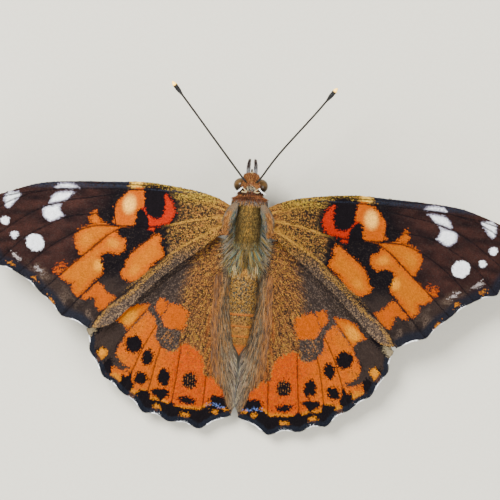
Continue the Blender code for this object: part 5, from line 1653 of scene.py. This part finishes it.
def leg_path(hip, knee, ankle, toe):
    """A leg's softened middle line: straight thigh and shin, and a foot that settles on the
    floor by a power of what is left of it."""
    share = np.linspace(0.0, 1.0, FOOT_STEPS + 1)[1:, None]
    foot = ankle + (toe - ankle) * share
    foot[:, 2] = toe[2] + (ankle[2] - toe[2]) * (1.0 - share[:, 0]) ** 2.2
    foot[:, 2] -= 0.09 * ease(share[:, 0], 0.2, 0.6)
    path = np.vstack([np.linspace(hip, knee, THIGH_STEPS),
                      np.linspace(knee, ankle, SHIN_STEPS + 1)[1:], foot])
    return np.stack([softened(path[:, k], 7) for k in range(3)], -1)


def leg_radius(count):
    """A leg's radius: two bells for thigh and shin and five wedges for the foot's joints."""
    t = np.arange(count)
    ankle = THIGH_STEPS + SHIN_STEPS
    thigh = 0.20 + 0.12 * np.exp(-((t - 26) / 20.0) ** 2)
    shin = 0.15 + 0.05 * np.exp(-((t - 82) / 22.0) ** 2)
    toes = 0.10 + 0.035 * ((t + 1 - ankle) / FOOT_STEPS * 5.0 % 1.0)
    radius = softened(np.where(t < THIGH_STEPS, thigh, np.where(t < ankle, shin, toes)), 5)
    return radius * np.clip((count - t) / 4.0, 0.3, 1.0)


def claw_rings(root, ahead, way):
    """One claw of a foot: a hook that runs ahead, out to its side by a sine and down by a
    square, as thin rings."""
    across = np.array([-ahead[1], ahead[0], 0.0])
    s = np.linspace(0, 1, 12)[:, None]
    claw = (root + ahead * (0.30 * s - 0.03) + across * way * 0.14 * np.sin(s * 1.7)
            - np.array([0, 0, 0.10]) * s ** 2)
    claw[:, 2] = np.maximum(claw[:, 2], 0.03)
    rings = rings_along(claw, 0.04 * (1.0 - 0.85 * s[:, 0]), 8)
    rings[..., 2] = np.maximum(rings[..., 2], 0.008)
    return rings


def build_leg(leg, side, tints):
    """A walking leg in one skin, from the body through knee and ankle to the toe, with two
    claws, and its coat."""
    hip, joints = LEGS[leg]
    knee, ankle, toe = (np.array(j) for j in joints)
    path = leg_path(underside(*hip) + np.array([-0.3, 0.0, 0.7]), knee, ankle, toe)
    rings = rings_along(path, leg_radius(len(path)), 16)
    rings[..., 2] = np.maximum(rings[..., 2], 0.02)
    thigh = ease(np.arange(len(path)), THIGH_STEPS, 40) * 0.4
    tone = np.broadcast_to(mix(tints.leg, tints.hair, thigh)[:, None], rings.shape)
    ahead = unit((toe - ankle) * [1, 1, 0])
    points, faces, paint = [rings.reshape(-1, 3)], tube_faces(*rings.shape[:2]), [tone.reshape(-1, 3)]
    for way in (-1.0, 1.0):
        hook = claw_rings(path[-1], ahead, way)
        faces += tube_faces(*hook.shape[:2], sum(len(p) for p in points))
        points.append(hook.reshape(-1, 3))
        paint.append(np.tile(tints.feeler, (len(points[-1]), 1)))
    names = [f"{leg}_{piece}_{side}" for piece in ("femur", "tibia", "tarsus")]
    add_piece(f"{leg}_skin_{side}", spot(side, np.vstack(points)), faces, np.vstack(paint),
              leg_material(), replaces=names)
    leg_coat(f"{leg}_coat_{side}", side, path, rings, tints, 71, 2300, 0.22)


def build_foreleg(side, tints):
    """The short brush-like front leg: a limb on a smooth path with long hair all round."""
    root = underside(*FORELEG_HIP)
    path = even_line(smooth_line((root + [0, -0.2, 0.3], *FORELEG_ROUTE), 16), 90)
    radius = np.interp(np.linspace(0, 1, len(path)), [0, 0.3, 0.7, 1.0], [0.16, 0.22, 0.18, 0.08])
    rings = rings_along(path, radius, 16)
    ring_piece(f"foreleg_skin_{side}", side, rings, tints.leg, leg_material(),
               [f"foreleg_{side}"])
    leg_coat(f"foreleg_coat_{side}", side, path, rings, tints, 81, 1500, 0.34, 0.15)


def tegula_dome(outline, r, column):
    """Points of the flap over the wing's root, a share `r` of the way from the middle to the
    outline. The height is 1 less r to the fourth, over the higher of body and wing."""
    plan = TEGULA_MIDDLE + (outline[column] - TEGULA_MIDDLE) * (0.94 * r)[..., None]
    out, forward = plan[..., 0], plan[..., 1]
    wide, high, centre = np.moveaxis(body_section(forward), -1, 0)
    body = centre + high * np.sqrt(np.clip(1.0 - (out / (wide + 0.4)) ** 2, 0.02, 1.0))
    wing = SHEET["height"] + SHEET["pitch"] * (forward - 1.0) + LAYER["fore"] + 0.50
    base = (wing + body + np.hypot(wing - body, 0.4)) / 2 + 0.10
    base = base - 0.24 * ease(forward, 4.2, 5.2)
    return raised(plan, base + 0.34 * (1.0 - r ** 4))


def build_tegula(side, tints):
    """The flap over the wing's root: a low dome over its outline, and hair that lies back."""
    rows, columns = 26, 88
    outline = even_line(smooth_line(TEGULA_OUTLINE + TEGULA_OUTLINE[:1], 8), columns + 1)[:-1]
    r, column = np.meshgrid(np.linspace(0.02, 1.0, rows), np.arange(columns), indexing="ij")
    upper = tegula_dome(outline, r, column)
    lower = raised(upper[..., :2], upper[..., 2] - (0.12 + 0.28 * (1.0 - r ** 4)))
    ring_piece(f"tegula_skin_{side}", side, np.concatenate([upper, lower[::-1]]), tints.hair,
               skin_material(), [f"tegula_{side}"])
    rng = draws(side, 91)
    count = 2600
    r, column = np.sqrt(rng.random(count)) * 0.98, rng.integers(0, columns, count)
    roots = tegula_dome(outline, r, column)
    away = (outline[column] - TEGULA_MIDDLE) * (r ** 3)[:, None]
    lie = np.tile([0.30, -1.0, -0.13], (count, 1)) + rng.normal(0, 0.10, (count, 3))
    crest = np.interp(roots[:, 1], *np.transpose(TEGULA_STRIPE))
    band = ease(np.abs(roots[:, 0] - crest) + rng.normal(0, 0.06, count), 0.42, 0.22)
    dice = rng.random(count)
    paint = lay(
        pick(tints, "grey teal hair_dark olive_light", (0.3, 0.2, 0.3, 0.2), dice),
        (pick(tints, "tan ginger rust_dark", (0.45, 0.35, 0.2), dice), band),
        (tints.ginger, ease(roots[:, 1], 2.9, 2.2) * 0.6))
    coat_piece(f"tegula_coat_{side}", side, roots, lie, raised(away * 0.5, np.ones(count)),
               *tuft_sizes(rng, count, (0.4, 0.9), (0.04, 0.06), (0.05, 0.35), 0.1), varied(paint, rng),
               0.5 + (roots[:, :2] - TEGULA_MIDDLE) * 0.2, "tegula", rings=2,
               shades=(0.65, 1.15))


def add_to_scene(thing, place, turn):
    """Link a light or the camera into the scene, set in metres and turned by three angles."""
    thing.location, thing.rotation_euler = place, turn
    bpy.context.scene.collection.objects.link(thing)
    return thing


class BUTTERFLY_OT_stage(bpy.types.Operator):
    """Set the pale floor, the soft studio light and the camera above the butterfly"""
    bl_idname = "butterfly.stage"
    bl_label = "Stage"

    def execute(self, context):
        stage = context.scene.butterfly_stage
        mesh = bpy.data.meshes.new("floor")
        corners = [(x * FLOOR_HALF, y * FLOOR_HALF, 0) for x, y in ((-1, -1), (1, -1), (1, 1), (-1, 1))]
        mesh.from_pydata(corners, [], [(0, 1, 2, 3)])
        mesh.materials.append(floor_material(tuple(stage.floor)))
        add_to_scene(bpy.data.objects.new("floor", mesh), (0, 0, 0), (0, 0, 0))
        world = bpy.data.worlds.new("Studio")
        world.use_nodes = True
        sky = world.node_tree.nodes["Background"].inputs
        sky["Color"].default_value = (*SKY_COLOUR, 1.0)
        sky["Strength"].default_value = SKY_STRENGTH
        context.scene.world = world
        for place, size, power in LAMPS:
            lamp = bpy.data.lights.new("Soft light", "AREA")
            lamp.energy, lamp.size = power, size
            x, y, z = place
            aim = (math.atan2(math.hypot(x, y), z), 0.0, math.atan2(-y, -x) - math.pi / 2)
            add_to_scene(bpy.data.objects.new("Soft light", lamp), place, aim)
        turn = math.pi + stage.turn
        camera = bpy.data.cameras.new("Camera")
        camera.sensor_width = SENSOR
        camera.lens = SENSOR * (stage.camera_height - WING_LEVEL) / stage.view_width
        camera.clip_start = 0.01
        place = (MM * (MIDLINE + VIEW_SHIFT * math.cos(turn)),
                 MM * (VIEW_SHIFT * math.sin(turn) - HEAD_ON), MM * stage.camera_height)
        context.scene.camera = add_to_scene(bpy.data.objects.new("Camera", camera), place,
                                            (0.0, 0.0, turn))
        return {"FINISHED"}


class BUTTERFLY_OT_body(bpy.types.Operator):
    """Make the skin of the head, thorax and abdomen and the hair that covers it"""
    bl_idname = "butterfly.body"
    bl_label = "Body and its hair"

    def execute(self, context):
        tints = palette()
        build_skin(tints)
        build_body_coat(tints)
        return {"FINISHED"}


class BUTTERFLY_OT_face(bpy.types.Operator):
    """Make the eyes, the palps and the rolled tongue"""
    bl_idname = "butterfly.face"
    bl_label = "Eyes, palps and tongue"

    def execute(self, context):
        tints = palette()
        for side in SIDES:
            build_eye(side, tints)
            build_eye_rim(side, tints)
            build_palp(side, tints)
        build_tongue(tints)
        return {"FINISHED"}


class BUTTERFLY_OT_antennae(bpy.types.Operator):
    """Make the two ringed feelers with their clubs"""
    bl_idname = "butterfly.antennae"
    bl_label = "Feelers"

    def execute(self, context):
        for side in SIDES:
            build_antenna(side, palette())
        return {"FINISHED"}


class BUTTERFLY_OT_legs(bpy.types.Operator):
    """Make the four walking legs and the two folded front legs"""
    bl_idname = "butterfly.legs"
    bl_label = "Legs"

    def execute(self, context):
        tints = palette()
        for side in SIDES:
            for leg in LEGS:
                build_leg(leg, side, tints)
            build_foreleg(side, tints)
        return {"FINISHED"}


class BUTTERFLY_OT_wings(bpy.types.Operator):
    """Make the four wing membranes with their veins and undersides"""
    bl_idname = "butterfly.wings"
    bl_label = "Wing membranes"

    def execute(self, context):
        for wing in make_wings():
            for side in SIDES:
                build_membrane(wing, side, palette())
        return {"FINISHED"}


class BUTTERFLY_OT_scales(bpy.types.Operator):
    """Lay the rows of coloured scales on the upper sides of the wings"""
    bl_idname = "butterfly.scales"
    bl_label = "Wing scales"

    def execute(self, context):
        for wing in make_wings():
            for side in SIDES:
                build_scales(wing, side, palette())
        return {"FINISHED"}


class BUTTERFLY_OT_fringes(bpy.types.Operator):
    """Make the fringes of the wings, the hair over their roots and the shoulder flaps"""
    bl_idname = "butterfly.fringes"
    bl_label = "Fringes, root hair and shoulder flaps"

    def execute(self, context):
        tints = palette()
        fore, hind = make_wings()
        for side in SIDES:
            for wing in (fore, hind):
                build_fringe(wing, side, tints)
                build_wing_hair(wing, side, tints)
            build_margin_hair(hind, side, tints)
            build_tegula(side, tints)
        return {"FINISHED"}


class BUTTERFLY_PT_sidebar(bpy.types.Panel):
    """Sizes, colours and steps of the butterfly"""
    bl_label = "Painted lady butterfly"
    bl_idname = "BUTTERFLY_PT_sidebar"
    bl_space_type = "VIEW_3D"
    bl_region_type = "UI"
    bl_category = "Butterfly"

    def draw(self, context):
        for group, kind in GROUPS.items():
            box = self.layout.box()
            for name in kind.__annotations__:
                box.prop(getattr(context.scene, group), name)
        for step in STEPS:
            self.layout.operator(step.bl_idname)


STEPS = (BUTTERFLY_OT_stage, BUTTERFLY_OT_body, BUTTERFLY_OT_face, BUTTERFLY_OT_antennae,
         BUTTERFLY_OT_legs, BUTTERFLY_OT_wings, BUTTERFLY_OT_scales, BUTTERFLY_OT_fringes)
GROUPS = {
    "butterfly_wings": ButterflyWings,
    "butterfly_coat": ButterflyCoat,
    "butterfly_colours": ButterflyColours,
    "butterfly_stage": ButterflyStage,
}


def register():
    for kind in (*GROUPS.values(), *STEPS, BUTTERFLY_PT_sidebar):
        bpy.utils.register_class(kind)
    for name, kind in GROUPS.items():
        setattr(bpy.types.Scene, name, bpy.props.PointerProperty(type=kind))


def unregister():
    for name in GROUPS:
        delattr(bpy.types.Scene, name)
    for kind in (BUTTERFLY_PT_sidebar, *reversed(STEPS), *reversed(GROUPS.values())):
        bpy.utils.unregister_class(kind)


def main():
    register()
    bpy.ops.butterfly.stage()
    bpy.ops.butterfly.body()
    bpy.ops.butterfly.face()
    bpy.ops.butterfly.antennae()
    bpy.ops.butterfly.legs()
    bpy.ops.butterfly.wings()
    bpy.ops.butterfly.scales()
    bpy.ops.butterfly.fringes()


if __name__ == "__main__":
    main()
